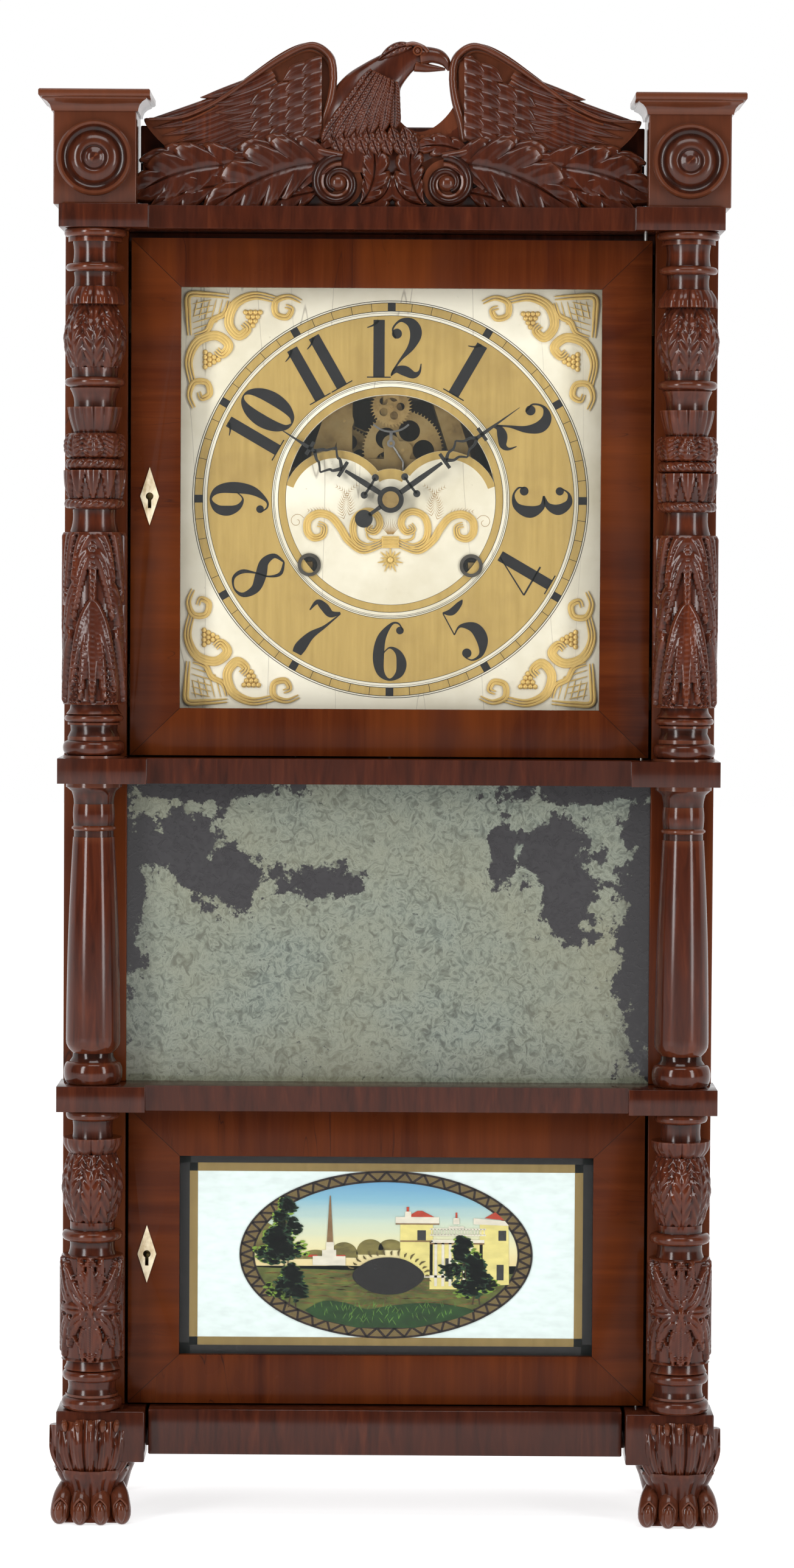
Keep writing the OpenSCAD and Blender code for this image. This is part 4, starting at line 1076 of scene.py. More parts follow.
def make_feet():
    """Front feet: a leaf apron over the plinth block, a cuffed ankle and four clawed toes."""
    x = column_axis_x()
    y = -52.0
    bm = bmesh.new()

    def ankle(u, v):
        a = math.pi * u
        h = v * 33
        r = 21.5 - 5.0 * math.sin(math.pi * min(1, v * 1.15)) + 1.5 * v
        rib = 1.3 * (bump(2 * ((a * 13 / (2 * math.pi)) % 1.0) - 1) - 1) * min(1, v * 3)
        cuff = 1.6 * math.exp(-((v - 0.97) / 0.05) ** 2) * (0.6 + 0.4 * math.cos(a * 26))
        r += rib + cuff
        return Vector((x + r * math.sin(a), y - r * math.cos(a) * 0.88, 1.5 + h)) * MM

    surface(bm, 78, 26, ankle)
    bmesh.ops.remove_doubles(bm, verts=bm.verts, dist=1e-6)
    for i in range(4):
        side = i - 1.5
        cx = x + side * 12.6
        cy = y - 12.5 + abs(side) * 3.2
        lean = side * 2.0
        limb(bm, [(cx - lean, cy + 9, 22, 5.0), (cx - lean * 0.4, cy + 1, 17, 6.2), (cx, cy - 3.6, 10, 6.6),
                           (cx + lean * 0.3, cy - 4.6, 4.6, 5.8), (cx + lean * 0.4, cy - 3.0, 1.2, 3.4)], 5,
                           sides=16)
        limb(bm, [(cx, cy - 8.8, 14.2, 1.6), (cx + lean * 0.2, cy - 9.9, 10.5, 2.9),
                            (cx + lean * 0.3, cy - 9.7, 5.5, 2.7), (cx + lean * 0.35, cy - 8.2, 1.6, 0.9)],
                            5, sides=12)
        nail = smooth_line([(cx, cy - 9.0, 17.0), (cx - 3.9, cy - 8.6, 12), (cx - 2.6, cy - 8.6, 4.5)],
                           steps=5)
        tube(bm, [Vector(p[:3]) * MM for p in nail], 0.8 * MM, sides=6)
        nail = [(2 * cx - p[0], p[1], p[2]) for p in nail]
        tube(bm, [Vector(p[:3]) * MM for p in nail], 0.8 * MM, sides=6)
    block(bm, (x - 21, y - 12, 0), (x + 21, y + 18, 3.0), 1.0)

    def apron(u, v):
        a = 1.35 * u
        wide = 26.5 * math.sin(math.pi / 2 * min(1, 0.52 + v * 0.75)) ** 1.1
        h = 31.6 + v * 34.5 - 5.0 * (abs(u) ** 2.4) * v
        scallop = 1.3 * abs(math.sin(u * 2.5 * math.pi)) * max(0, v - 0.8) / 0.2
        depth = -60.5 - 13.6 * math.cos(a) ** 0.8 * (0.45 + 0.55 * math.sin(math.pi * (0.12 + 0.72 * v)))
        rib = 0
        for centre, bend in ((0, 0), (0.36, 0.16), (-0.36, -0.16), (0.72, 0.22), (-0.72, -0.22)):
            spot = centre + bend * (v - 0.5)
            rib += 1.5 * math.exp(-((u - spot) / 0.07) ** 2) * (0.35 + 0.65 * v)
            rib -= 1.4 * math.exp(-((u - spot - 0.17) / 0.05) ** 2)
        rib += 0.35 * math.sin(u * 70)
        return Vector((x + wide * u, min(-58, depth) - rib * 0.9, h + scallop)) * MM

    close_back(bm, surface(bm, 70, 30, apron), -58 * MM)
    for u in (-0.62, -0.3, 0, 0.3, 0.62):
        limb(bm, [(x + 26 * u, -72.2 + 9 * u * u, 60, 1.2), (x + 26.5 * u, -73.2 + 9 * u * u, 64, 2.0),
                            (x + 27 * u, -70.5 + 9 * u * u, 66.2, 1.4)], 4, sides=8)
    mirrored(bm)
    piece("paw_feet_carved", bm, WOOD, "case", ["paw_feet"])


def turn_rear_feet():
    bm = bmesh.new()
    rear_lo, rear_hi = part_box("rear_feet")
    rear_x = rear_hi.x / MM - 19
    rear_y = (rear_lo.y + rear_hi.y) / 2 / MM
    spun(bm, [(0.01, 0), (11.6, 0), (12.6, 1), (13.4, 4), (15.6, 12), (17.6, 17), (17.2, 19), (15.8, 20.4),
              (15.8, 22), (18.6, 23.6), (19, 26.4), (18.4, 29), (16.8, 30.6), (17.4, 34),
              (18.8, rear_hi.z / MM), (0.01, rear_hi.z / MM)],
         (rear_x, rear_y, 0), steps=56)
    mirrored(bm)
    piece("rear_feet_turned", bm, WOOD, "case", ["rear_feet"])


def finish_case():
    ledge_wood = carved_mahogany("ledge_mahogany", 1.0, 0.2, wear_and_shade=False)
    for node in ("cornice_ledge", "middle_ledge", "lower_ledge", "base_rail"):
        soften(node, 0.0009, ledge_wood)
    soften("front_stiles", 0.0006, mahogany_veneer("stile_veneer", across=False, light=0.6))
    soften("case_boards", 0.0008, carved_mahogany("case_mahogany", 1.0, 0.3, wear_and_shade=False))
    soften("backboard", 0.0008, plain_wood("back_pine", (0.30, 0.17, 0.085), (0.14, 0.07, 0.035)))
    soften("movement_blocks", 0.0008, plain_wood("block_pine", (0.38, 0.23, 0.12), (0.2, 0.11, 0.055)))


# ---------------------------------------------------------------- doors and glass

def banded_veneer(name, node, sight_node):
    """Cross-banded veneer: the figure lies across every stile and rail and meets in mitres."""
    lo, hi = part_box(node)
    glass_lo, glass_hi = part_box(sight_node)
    middle = (glass_lo.z + glass_hi.z) / 2
    half_w = glass_hi.x - 0.004
    half_h = (glass_hi.z - glass_lo.z) / 2 - 0.004
    m = mahogany_veneer(name, across=True, light=0.52)
    t = m.node_tree
    where = next(n for n in t.nodes if n.type == "TEX_COORD").outputs["Object"]
    split = add(t, "SeparateXYZ", Vector=where)

    def sums(kind, a, b=None):
        node_ = add(t, "Math", {"operation": kind})
        for index, value in enumerate((a, b)):
            if value is None:
                continue
            if isinstance(value, bpy.types.NodeSocket):
                t.links.new(value, node_.inputs[index])
            else:
                node_.inputs[index].default_value = value
        return node_.outputs[0]

    out_x = sums("SUBTRACT", sums("ABSOLUTE", split.outputs["X"]), half_w)
    out_z = sums("SUBTRACT", sums("ABSOLUTE", sums("SUBTRACT", split.outputs["Z"], middle)), half_h)
    slope = (hi.x - half_w) / ((hi.z - lo.z) / 2 - half_h)
    edge = sums("SUBTRACT", out_x, sums("MULTIPLY", out_z, slope))
    on_rail = sums("LESS_THAN", edge, 0.0)
    flipped = add(t, "CombineXYZ", X=split.outputs["Z"], Y=split.outputs["Y"],
                  Z=split.outputs["X"]).outputs[0]
    turned = mix(t, on_rail, (0, 0, 0), (0, 0, 0))
    chooser = turned.node
    t.links.new(where, chooser.inputs[6])
    t.links.new(flipped, chooser.inputs[7])
    for mapping in [n for n in t.nodes if n.type == "MAPPING"]:
        t.links.new(turned, mapping.inputs["Vector"])
    shader = t.nodes["Principled BSDF"]
    wood = shader.inputs["Base Color"].links[0].from_socket
    joint = sums("LESS_THAN", sums("ABSOLUTE", edge), 0.00028)
    t.links.new(mix(t, joint, wood, (0.018, 0.007, 0.004)), shader.inputs["Base Color"])
    return m


def finish_doors():
    soften("upper_door_frame", 0.0006, banded_veneer("upper_door_veneer", "upper_door_frame",
                                                     "upper_door_glass"))
    soften("lower_door_frame", 0.0006, banded_veneer("lower_door_veneer", "lower_door_frame",
                                                     "tablet_glass"))
    bone = bone_inlay()
    soften("upper_escutcheon", 0.00025, bone)
    soften("lower_escutcheon", 0.00025, bone)
    glass = old_glass()
    for node in ("upper_door_glass", "tablet_glass"):
        show_as(node, glass)
    show_as("mirror_glass", foxed_mirror())


def show_as(node, material):
    """Gives a CAD piece its finish."""
    data = frame["nodes"][node].data
    data.materials.clear()
    data.materials.append(material)


# ---------------------------------------------------------------- dial

DIAL_X, DIAL_Z = 0.0, 652.0


def digit_strokes(d):
    """Fat-faced numerals: strokes of (x, z, width) and balls of (x, z, radius) in a box one unit high."""
    if d == "9":
        strokes, balls = digit_strokes("6")
        turned = [[(0.56 - x, 1 - z, w) for x, z, w in stroke] for stroke in strokes]
        return turned, [(0.56 - x, 1 - z, r) for x, z, r in balls]
    return {
        "0": ([[(0.28 + 0.21 * math.sin(k * math.pi / 6), 0.5 - 0.47 * math.cos(k * math.pi / 6),
                 0.025 + 0.19 * abs(math.sin(k * math.pi / 6)) ** 1.6) for k in range(13)]], []),
        "1": ([[(0.3, 0.01, 0.19), (0.3, 0.97, 0.19)], [(0.1, 0.01, 0.02), (0.5, 0.01, 0.02)],
               [(0.1, 0.84, 0.015), (0.2, 0.88, 0.03), (0.29, 0.96, 0.05)]], []),
        "2": ([[(0.12, 0.66, 0.03), (0.07, 0.82, 0.03), (0.2, 0.96, 0.05), (0.38, 0.92, 0.16),
                (0.46, 0.75, 0.2), (0.38, 0.52, 0.12), (0.2, 0.3, 0.04), (0.07, 0.1, 0.03),
                (0.05, 0.03, 0.02)],
               [(0.05, 0.04, 0.02), (0.13, 0.13, 0.1), (0.27, 0.12, 0.17), (0.42, 0.05, 0.12),
                (0.52, 0.1, 0.05), (0.55, 0.24, 0.015)]], [(0.14, 0.74, 0.085)]),
        "3": ([[(0.07, 0.82, 0.02), (0.16, 0.95, 0.04), (0.32, 0.95, 0.12), (0.43, 0.78, 0.18),
                (0.36, 0.6, 0.1), (0.2, 0.53, 0.03)],
               [(0.2, 0.53, 0.03), (0.38, 0.5, 0.1), (0.47, 0.3, 0.2), (0.38, 0.08, 0.12),
                (0.2, 0.02, 0.04), (0.07, 0.1, 0.03), (0.07, 0.2, 0.02)]],
                [(0.12, 0.8, 0.07), (0.12, 0.2, 0.075)]),
        "4": ([[(0.4, 0.01, 0.18), (0.4, 0.98, 0.18)], [(0.38, 0.97, 0.02), (0.03, 0.3, 0.025)],
               [(0.03, 0.3, 0.03), (0.58, 0.3, 0.03)], [(0.22, 0.01, 0.02), (0.58, 0.01, 0.02)]], []),
        "5": ([[(0.1, 0.96, 0.02), (0.24, 0.9, 0.12), (0.42, 0.95, 0.09), (0.5, 0.99, 0.015)],
               [(0.1, 0.95, 0.02), (0.09, 0.54, 0.02)],
               [(0.09, 0.54, 0.02), (0.25, 0.62, 0.05), (0.44, 0.48, 0.18), (0.46, 0.25, 0.2),
                (0.33, 0.04, 0.08), (0.15, 0.02, 0.03), (0.06, 0.12, 0.02)]], [(0.12, 0.17, 0.08)]),
        "6": ([[(0.5, 0.86, 0.02), (0.42, 0.97, 0.03), (0.3, 0.95, 0.05), (0.14, 0.72, 0.15),
                (0.09, 0.4, 0.19), (0.13, 0.14, 0.13), (0.28, 0.02, 0.04), (0.44, 0.12, 0.13),
                (0.48, 0.3, 0.17), (0.42, 0.48, 0.1), (0.28, 0.56, 0.03), (0.16, 0.45, 0.02)]],
                [(0.45, 0.85, 0.065)]),
        "7": ([[(0.04, 0.76, 0.02), (0.08, 0.94, 0.08), (0.22, 0.93, 0.14), (0.38, 0.88, 0.12),
                (0.51, 0.98, 0.03)],
               [(0.52, 0.97, 0.02), (0.4, 0.65, 0.05), (0.27, 0.4, 0.13), (0.22, 0.15, 0.2),
                (0.22, 0.02, 0.16)]], []),
        "8": ([[(0.3, 0.97, 0.03), (0.13, 0.88, 0.08), (0.14, 0.68, 0.15), (0.3, 0.52, 0.19),
                (0.45, 0.33, 0.15), (0.44, 0.1, 0.08), (0.28, 0.02, 0.03), (0.11, 0.1, 0.05),
                (0.09, 0.28, 0.07), (0.22, 0.46, 0.03), (0.38, 0.62, 0.03), (0.44, 0.82, 0.06),
                (0.3, 0.97, 0.03)]], []),
    }[d]


def paint_numerals(bm, front):
    """Hours round the chapter ring; the lower ones stand upright to the reader."""
    size = 38.0
    for hour in range(1, 13):
        turned = 4 <= hour <= 8
        text = str(hour)
        step = {"10": 0.52, "11": 0.42, "12": 0.46}.get(text, 0.56)
        wide = step * (len(text) - 1) + 0.56
        angle = math.radians(30 * hour + (180 if turned else 0))
        for place, digit in enumerate(text):
            strokes, balls = digit_strokes(digit)

            def set_out(x, z):
                local = ((x + place * step - wide / 2) * size, (z - 0.5) * size)
                out = 96.8 * (-1 if turned else 1)
                px = local[0] * math.cos(angle) + (local[1] + out) * math.sin(angle)
                pz = -local[0] * math.sin(angle) + (local[1] + out) * math.cos(angle)
                return DIAL_X + px, DIAL_Z + pz

            for stroke in strokes:
                brush(bm, [(*set_out(x, z), w * size) for x, z, w in stroke], front - 0.16, front)
            for x, z, r in balls:
                disc(bm, *set_out(x, z), r * size, front - 0.16, front, steps=18)


def paint_minute_track(bm, front):
    for r0, r1 in ((126.5, 126.9), (125.3, 125.7), (120.0, 120.4), (119.0, 119.2), (117.2, 117.5),
                   (75.9, 76.2), (74.9, 75.2), (74.1, 74.3), (71.8, 72.1), (67.1, 67.3)):
        if r0 > 70:
            ring(bm, r0, r1, front - 0.14, front, centre=(DIAL_X, DIAL_Z))
        else:
            ring(bm, r0, r1, front - 0.14, front, centre=(DIAL_X, DIAL_Z), a0=165, a1=375)
    for minute in range(60):
        a = math.radians(6 * minute)
        half = 2.5 if minute % 5 == 0 else 0.16
        out = Vector((math.sin(a), math.cos(a)))
        side = Vector((math.cos(a), -math.sin(a)))
        r0, r1 = 120.2, 125.5
        spots = [out * r + side * s for r, s in ((r0, -half), (r0, half), (r1, half), (r1, -half))]
        plate(bm, [(DIAL_X + p.x, DIAL_Z + p.y) for p in spots], front - 0.15, front)


def gild_rings(bm, front):
    """Flat gold leaf: chapter ring, minute ring and the edging of the arched opening."""
    here = (DIAL_X, DIAL_Z)
    ring(bm, 76.2, 117.3, front - 0.07, front, centre=here)
    ring(bm, 120.2, 125.5, front - 0.07, front, centre=here)
    ring(bm, 67.2, 71.9, front - 0.07, front, centre=here)
    for s in (-1, 1):
        lobe = (DIAL_X + 35 * s, DIAL_Z - 2.6)
        a0, a1 = (38, 160) if s < 0 else (20, 142)
        ring(bm, 29.0, 34.0, front - 0.07, front, centre=lobe, a0=a0, a1=a1)
    ring(bm, 13.4, 19.8, front - 0.07, front, centre=here, a0=58, a1=122)


def centre_scrolls(bm, front):
    """Raised gilt scrolls, a small tablet and a star under the hands."""
    x, z, y = DIAL_X, DIAL_Z, front - 0.8
    outer = [(46.5, -15.5), (42.5, -17.5), (43.5, -23), (49, -24.5), (53, -20.5), (52.5, -13), (46, -9),
             (38, -11), (32, -18), (27, -26), (18, -32.4), (8, -29.5), (4, -27)]
    inner = [(12.5, -15.5), (14.5, -19), (10, -20.5), (6.8, -15.5), (9, -9.4), (15, -7.4), (21.5, -10.6),
             (24, -18), (22, -26), (15, -29.6), (7, -27.6)]
    sprig = [(15.5, -21), (14, -24.6), (9, -26), (5, -25)]
    for s in (-1, 1):
        for points, radius, more in ((outer, 0.95, dict(lines=3, gap=1.55)),
                                     (inner, 0.85, dict(lines=3, gap=1.45)), (sprig, 0.8, {})):
            beads(bm, [(x + s * a, z + b) for a, b in points], y, radius, **more)
    block(bm, (x - 5.6, front - 1.8, z - 30.8), (x + 5.6, front, z - 23.2), 0.5)
    for k in range(3):
        block(bm, (x - 5.0, front - 2.3, z - 29.6 + 2.1 * k), (x + 5.0, front - 1.6, z - 28.6 + 2.1 * k),
              0.3)
    for k in range(14):
        a = math.pi * k / 7
        far = 8.4 if k % 2 == 0 else 6.4
        tip = (x + far * math.sin(a), z - 38.4 + far * math.cos(a))
        brush(bm, [(x, z - 38.4, 1.0), ((x + tip[0]) / 2, (z - 38.4 + tip[1]) / 2, 1.5), (*tip, 0.15)],
              front - 0.9, front, 2)
    ball(bm, x, front - 0.8, z - 38.4, 2.0, 0.5)


def pen_flourishes(bm, front):
    """Thin gold sprays on both sides of the hands."""
    x, z = DIAL_X, DIAL_Z
    for s in (-1, 1):
        for root, bend, tip, count in (((29, -14), (36, 0), (22, 9), 15), ((27, -12), (22, 2), (34, 8), 13),
                                       ((36, -10), (44, -6), (52, -7), 8)):
            for k in range(count):
                t = (k + 1) / count
                spot = curve_point(Vector((*root, 0)), Vector((*bend, 0)), Vector((*tip, 0)), t)
                p, way = spot
                for turn in (-0.75, 0.75):
                    d = Vector((way.x * math.cos(turn) - way.y * math.sin(turn),
                                way.x * math.sin(turn) + way.y * math.cos(turn)))
                    far = 4.6 * (1 - 0.6 * t)
                    brush(bm, [(x + s * p.x, z + p.y, 0.4), (x + s * (p.x + d.x * far), z + p.y + d.y * far,
                                                             0.05)],
                          front - 0.1, front, 1)
        curl = [(x + s * (60 + 5 * t * math.cos(9 * t)), z - 14 + 5 * t * math.sin(9 * t), 0.3) for t in
                [k / 14 for k in range(3, 15)]]
        brush(bm, curl, front - 0.1, front, 2)
    for k in range(11):
        a = math.radians(-50 + 10 * k)
        brush(bm, [(x + 2 * math.sin(a), z - 22, 0.5), (x + 9 * math.sin(a), z - 22 + 10 * math.cos(a),
                                                        0.06)],
              front - 0.1, front, 1)


def corner_scrolls(bm, front):
    """Raised gilt work in the upper right corner: scrolls, a latticed cartouche and grapes."""
    x, z = DIAL_X, DIAL_Z

    def scroll(points, radius, lines, gap):
        beads(bm, [(x + a, z + b) for a, b in points], front - 0.9, radius, lines=lines, gap=gap)

    curl = [(58, 126), (66, 129), (74, 126), (74, 118), (67, 116), (64, 121), (68, 123)]
    arm = [(74, 127), (88, 129.5), (100, 124), (104, 112), (98, 104), (92, 108), (95, 112)]
    for points, radius, lines, gap in ((curl, 1.1, 2, 1.9), (arm, 1.2, 3, 1.8)):
        scroll(points, radius, lines, gap)
        scroll([(b, a) for a, b in points], radius, lines, gap)
    scroll([(104, 129), (118, 130), (129.5, 129.5), (130, 118), (129, 104)], 1.1, 2, 2.0)
    scroll([(104, 126), (107, 118), (114, 114), (118, 107), (126, 104)], 1.0, 2, 1.7)
    for k in range(5):
        beads(bm, [(x + 108 + 4 * k, z + 127), (x + 112 + 3.6 * k, z + 112 + k)], front - 0.5, 0.4)
        beads(bm, [(x + 127, z + 108 + 4 * k), (x + 111 + k, z + 113 + 3.4 * k)], front - 0.5, 0.4)
    for row in range(4):
        for k in range(4 - row):
            gx = 84 + 3.1 * k + 1.55 * row
            gz = 119 - 2.8 * row
            ball(bm, x + gx, front - 0.6, z + gz, 1.7, 0.8)
            ball(bm, x + gz, front - 0.6, z + gx, 1.7, 0.8)


def scatter_corners(bm):
    """Copies the first corner's work into the other three corners of the dial."""
    source = bm.verts[:] + bm.edges[:] + bm.faces[:]
    for flip in ((-1, 1), (1, -1), (-1, -1)):
        copy = bmesh.ops.duplicate(bm, geom=source)["geom"]
        for vert in (g for g in copy if isinstance(g, bmesh.types.BMVert)):
            vert.co.x = (DIAL_X + (vert.co.x / MM - DIAL_X) * flip[0]) * MM
            vert.co.z = (DIAL_Z + (vert.co.z / MM - DIAL_Z) * flip[1]) * MM


def make_dial():
    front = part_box("dial_panel")[0].y / MM
    soften("dial_panel", 0.0003, dial_white())
    bm = bmesh.new()
    gild_rings(bm, front)
    piece("dial_gold_leaf", bm, gold_leaf("flat_gold_leaf"), "case", smooth=False)
    bm = bmesh.new()
    paint_numerals(bm, front)
    paint_minute_track(bm, front)
    piece("dial_numerals", bm, paint("numeral_black", (0.012, 0.011, 0.012), 0.45), "case",
          smooth=False)
    gold = gold_leaf("raised_gilt", 1.25)
    bm = bmesh.new()
    corner_scrolls(bm, front)
    scatter_corners(bm)
    piece("dial_corner_scrolls", bm, gold, "case")
    bm = bmesh.new()
    centre_scrolls(bm, front)
    piece("dial_centre_scrolls", bm, gold, "case")
    bm = bmesh.new()
    pen_flourishes(bm, front)
    piece("dial_flourishes", bm, paint("flourish_gold", (0.33, 0.20, 0.07), 0.5), "case",
          smooth=False)
    bm = bmesh.new()
    for s in (-1, 1):
        ring(bm, 5.2, 7.4, front - 1.3, front + 6, centre=(DIAL_X + 51.8 * s, DIAL_Z - 41.8))
    piece("winding_hole_rings", bm, dull_metal("hole_ring_steel", (0.20, 0.18, 0.15), 0.34), "case")
    # A black ring inside each winding hole: painted shade standing in for the dark hole interior.
    bm = bmesh.new()
    for s in (-1, 1):
        ring(bm, 3.0, 5.3, front + 1.2, front + 2.2, centre=(DIAL_X + 51.8 * s, DIAL_Z - 41.8))
    piece("winding_hole_shades", bm, paint("hole_black", (0.01, 0.009, 0.008), 0.7), "case")


# ---------------------------------------------------------------- hands

def hand_shape(bm, length, loop, y0, y1, tail):
    """A pierced hand drawn pointing up from the dial's centre."""
    x, z = DIAL_X, DIAL_Z
    ring(bm, 3.9 if not tail else 2.2, 8.4, y0, y1, centre=(x, z))

    def stroke(*points):
        brush(bm, [(x + a, z + b, w) for a, b, w in points], y0, y1, 4)

    def both(*points):
        stroke(*points)
        stroke(*[(-a, b, w) for a, b, w in points])

    stroke((0, 7.6, 3.2), (0, 20, 3.6), (0, length * 0.30, 3.0), (0, length * 0.40, 2.0))
    both((0, 15.5, 1.6), (3.6, 15.6, 1.6), (6.4, 15.8, 1.4))
    for s in (-1, 1):
        disc(bm, x + 6.6 * s, z + 15.8, 2.3, y0, y1)
    bar = length * 0.42
    stroke((-5.6, bar, 2.2), (0, bar, 2.4), (5.6, bar, 2.2))
    low, wide, high = length * 0.43, loop, length * 0.67
    middle = (low + high) / 2
    both((0, low, 2.6), (wide * 0.55, low + 4, 1.8), (wide * 0.62, middle - 4, 1.6),
         (wide * 1.25, middle, 1.1))
    both((wide * 1.25, middle, 1.1), (wide * 0.62, middle + 4, 1.6), (wide * 0.5, high - 4, 1.8),
         (0, high, 2.4))
    cross = length * 0.71
    both((0, cross, 2.4), (3.4, cross, 2.2), (4.8, cross, 2.6))
    stroke((0, high - 1, 2.4), (0, cross + 4, 2.2), (0, length * 0.84, 1.3), (0, length, 0.35))
    if tail:
        stroke((0, -7.6, 3.0), (0, -12, 2.2), (0, -17, 2.6))
        disc(bm, x, z - 21, 5.7, y0, y1, steps=36)


def make_hand(name, node, body, angle, length, loop, tail):
    lo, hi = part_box(node)
    bm = bmesh.new()
    hand_shape(bm, length, loop, lo.y / MM, hi.y / MM, tail)
    hub = Vector((DIAL_X, 0, DIAL_Z)) * MM
    turn = Matrix.Translation(hub) @ Matrix.Rotation(math.radians(angle), 4, "Y") @ Matrix.Translation(-hub)
    bmesh.ops.transform(bm, matrix=turn, verts=bm.verts)
    piece(name, bm, HAND_BLACK, body, [node], smooth=False)


# ---------------------------------------------------------------- painted tablet

def painted(name, bm, colour, rough=0.4, spread=0.2):
    piece(name, bm, paint(name + "_paint", colour, rough, spread), "lower_door", smooth=False)


def oval(cx, cz, a, b, steps=72, start=0.0, end=360.0):
    return [(cx + a * math.cos(math.radians(start + (end - start) * i / steps)),
             cz + b * math.sin(math.radians(start + (end - start) * i / steps))) for i in range(steps + (end < 360))]


def inside_oval(points, cx, cz, a, b):
    """Pulls points outside the oval back onto its edge."""
    out = []
    for px, pz in points:
        far = math.hypot((px - cx) / a, (pz - cz) / b)
        out.append((px, pz) if far <= 1 else (cx + (px - cx) / far, cz + (pz - cz) / far))
    return out


def tree(bm, x, z, height, y, seed):
    """A painted tree crown: clumps of short leaf strokes; the forked trunks are painted in paint_trees."""
    grow = random.Random(seed)
    for k in range(9):
        level = k / 8
        cx = x + grow.uniform(-1, 1) * 10.5 * (1.1 - level)
        cz = z + height * (0.34 + 0.62 * level)
        for _ in range(26):
            a = grow.uniform(0, 2 * math.pi)
            r = grow.uniform(1.2, 6.2) * (1.15 - 0.5 * level)
            px, pz = cx + r * math.cos(a), cz + 0.75 * r * math.sin(a)
            lean = grow.uniform(-0.6, 0.6)
            brush(bm, [(px - 1.8, pz + lean, 0.5), (px, pz, 2.0), (px + 1.8, pz - lean, 0.4)], y, y + 0.06,
                  2)


TABLET_LO, TABLET_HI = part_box("tablet_glass")
TABLET_Z = (TABLET_LO.z + TABLET_HI.z) / 2 / MM
TABLET_HALF = (TABLET_HI.x / MM - 0.4, (TABLET_HI.z - TABLET_LO.z) / 2 / MM - 0.4)
OVAL_OUTER = (93.4, 53.4)
OVAL_INNER = (85.0, 47.4)
FILM = 0.06   # thickness of one layer of paint
# Layers of paint behind the glass, from the first laid to the last
DEPTH = {name: TABLET_HI.y / MM + 0.02 + 0.09 * i for i, name in enumerate(
    ("sight", "wreath", "tree", "trim", "window", "house", "ring", "hill", "land", "sky", "strip", "border",
     "ground"))}


def rect(ax, az, bx, bz):
    return [(ax, az), (bx, az), (bx, bz), (ax, bz)]


def in_picture(shapes, cut=True):
    """Moves shapes from the oval's middle to the tablet and trims them to the oval."""
    placed = [[(a, TABLET_Z + b) for a, b in shape] for shape in shapes]
    if not cut:
        return placed
    edge = (OVAL_INNER[0] + 0.8, OVAL_INNER[1] + 0.8)
    return [inside_oval(shape, 0.0, TABLET_Z, *edge) for shape in placed]


def layer(name, outlines, level, colour, **look):
    """One colour of paint: flat shapes at one level."""
    bm = bmesh.new()
    for outline in outlines:
        plate(bm, outline, DEPTH[level], DEPTH[level] + FILM)
    painted(name, bm, colour, **look)


def paint_border():
    """The pale ground, the black edge and the gold strip."""
    x1, z1 = TABLET_HALF
    layer("tablet_ground", in_picture([rect(-x1, -z1, x1, z1)], False), "ground", (0.70, 0.80, 0.77),
          spread=0.08)
    edge = [rect(-x1, -z1, x1, -z1 + 10.2), rect(-x1, z1 - 9.0, x1, z1), rect(-x1, -z1, -x1 + 10.4, z1),
            rect(x1 - 10.4, -z1, x1, z1)]
    layer("tablet_black_border", in_picture(edge, False), "border", (0.012, 0.010, 0.010), rough=0.3)
    gx, gz, w = x1 - 9.8, z1 - 8.8, 5.3
    strip = [rect(-gx, -gz, gx, -gz + w), rect(-gx, gz - w, gx, gz), rect(-gx, -gz, -gx + w, gz),
             rect(gx - w, -gz, gx, gz)]
    bm = bmesh.new()
    for outline in in_picture(strip, False):
        plate(bm, outline, DEPTH["strip"], DEPTH["strip"] + FILM)
    piece("tablet_gold_strip", bm, gold_leaf("tablet_gold", 0.5), "lower_door", smooth=False)


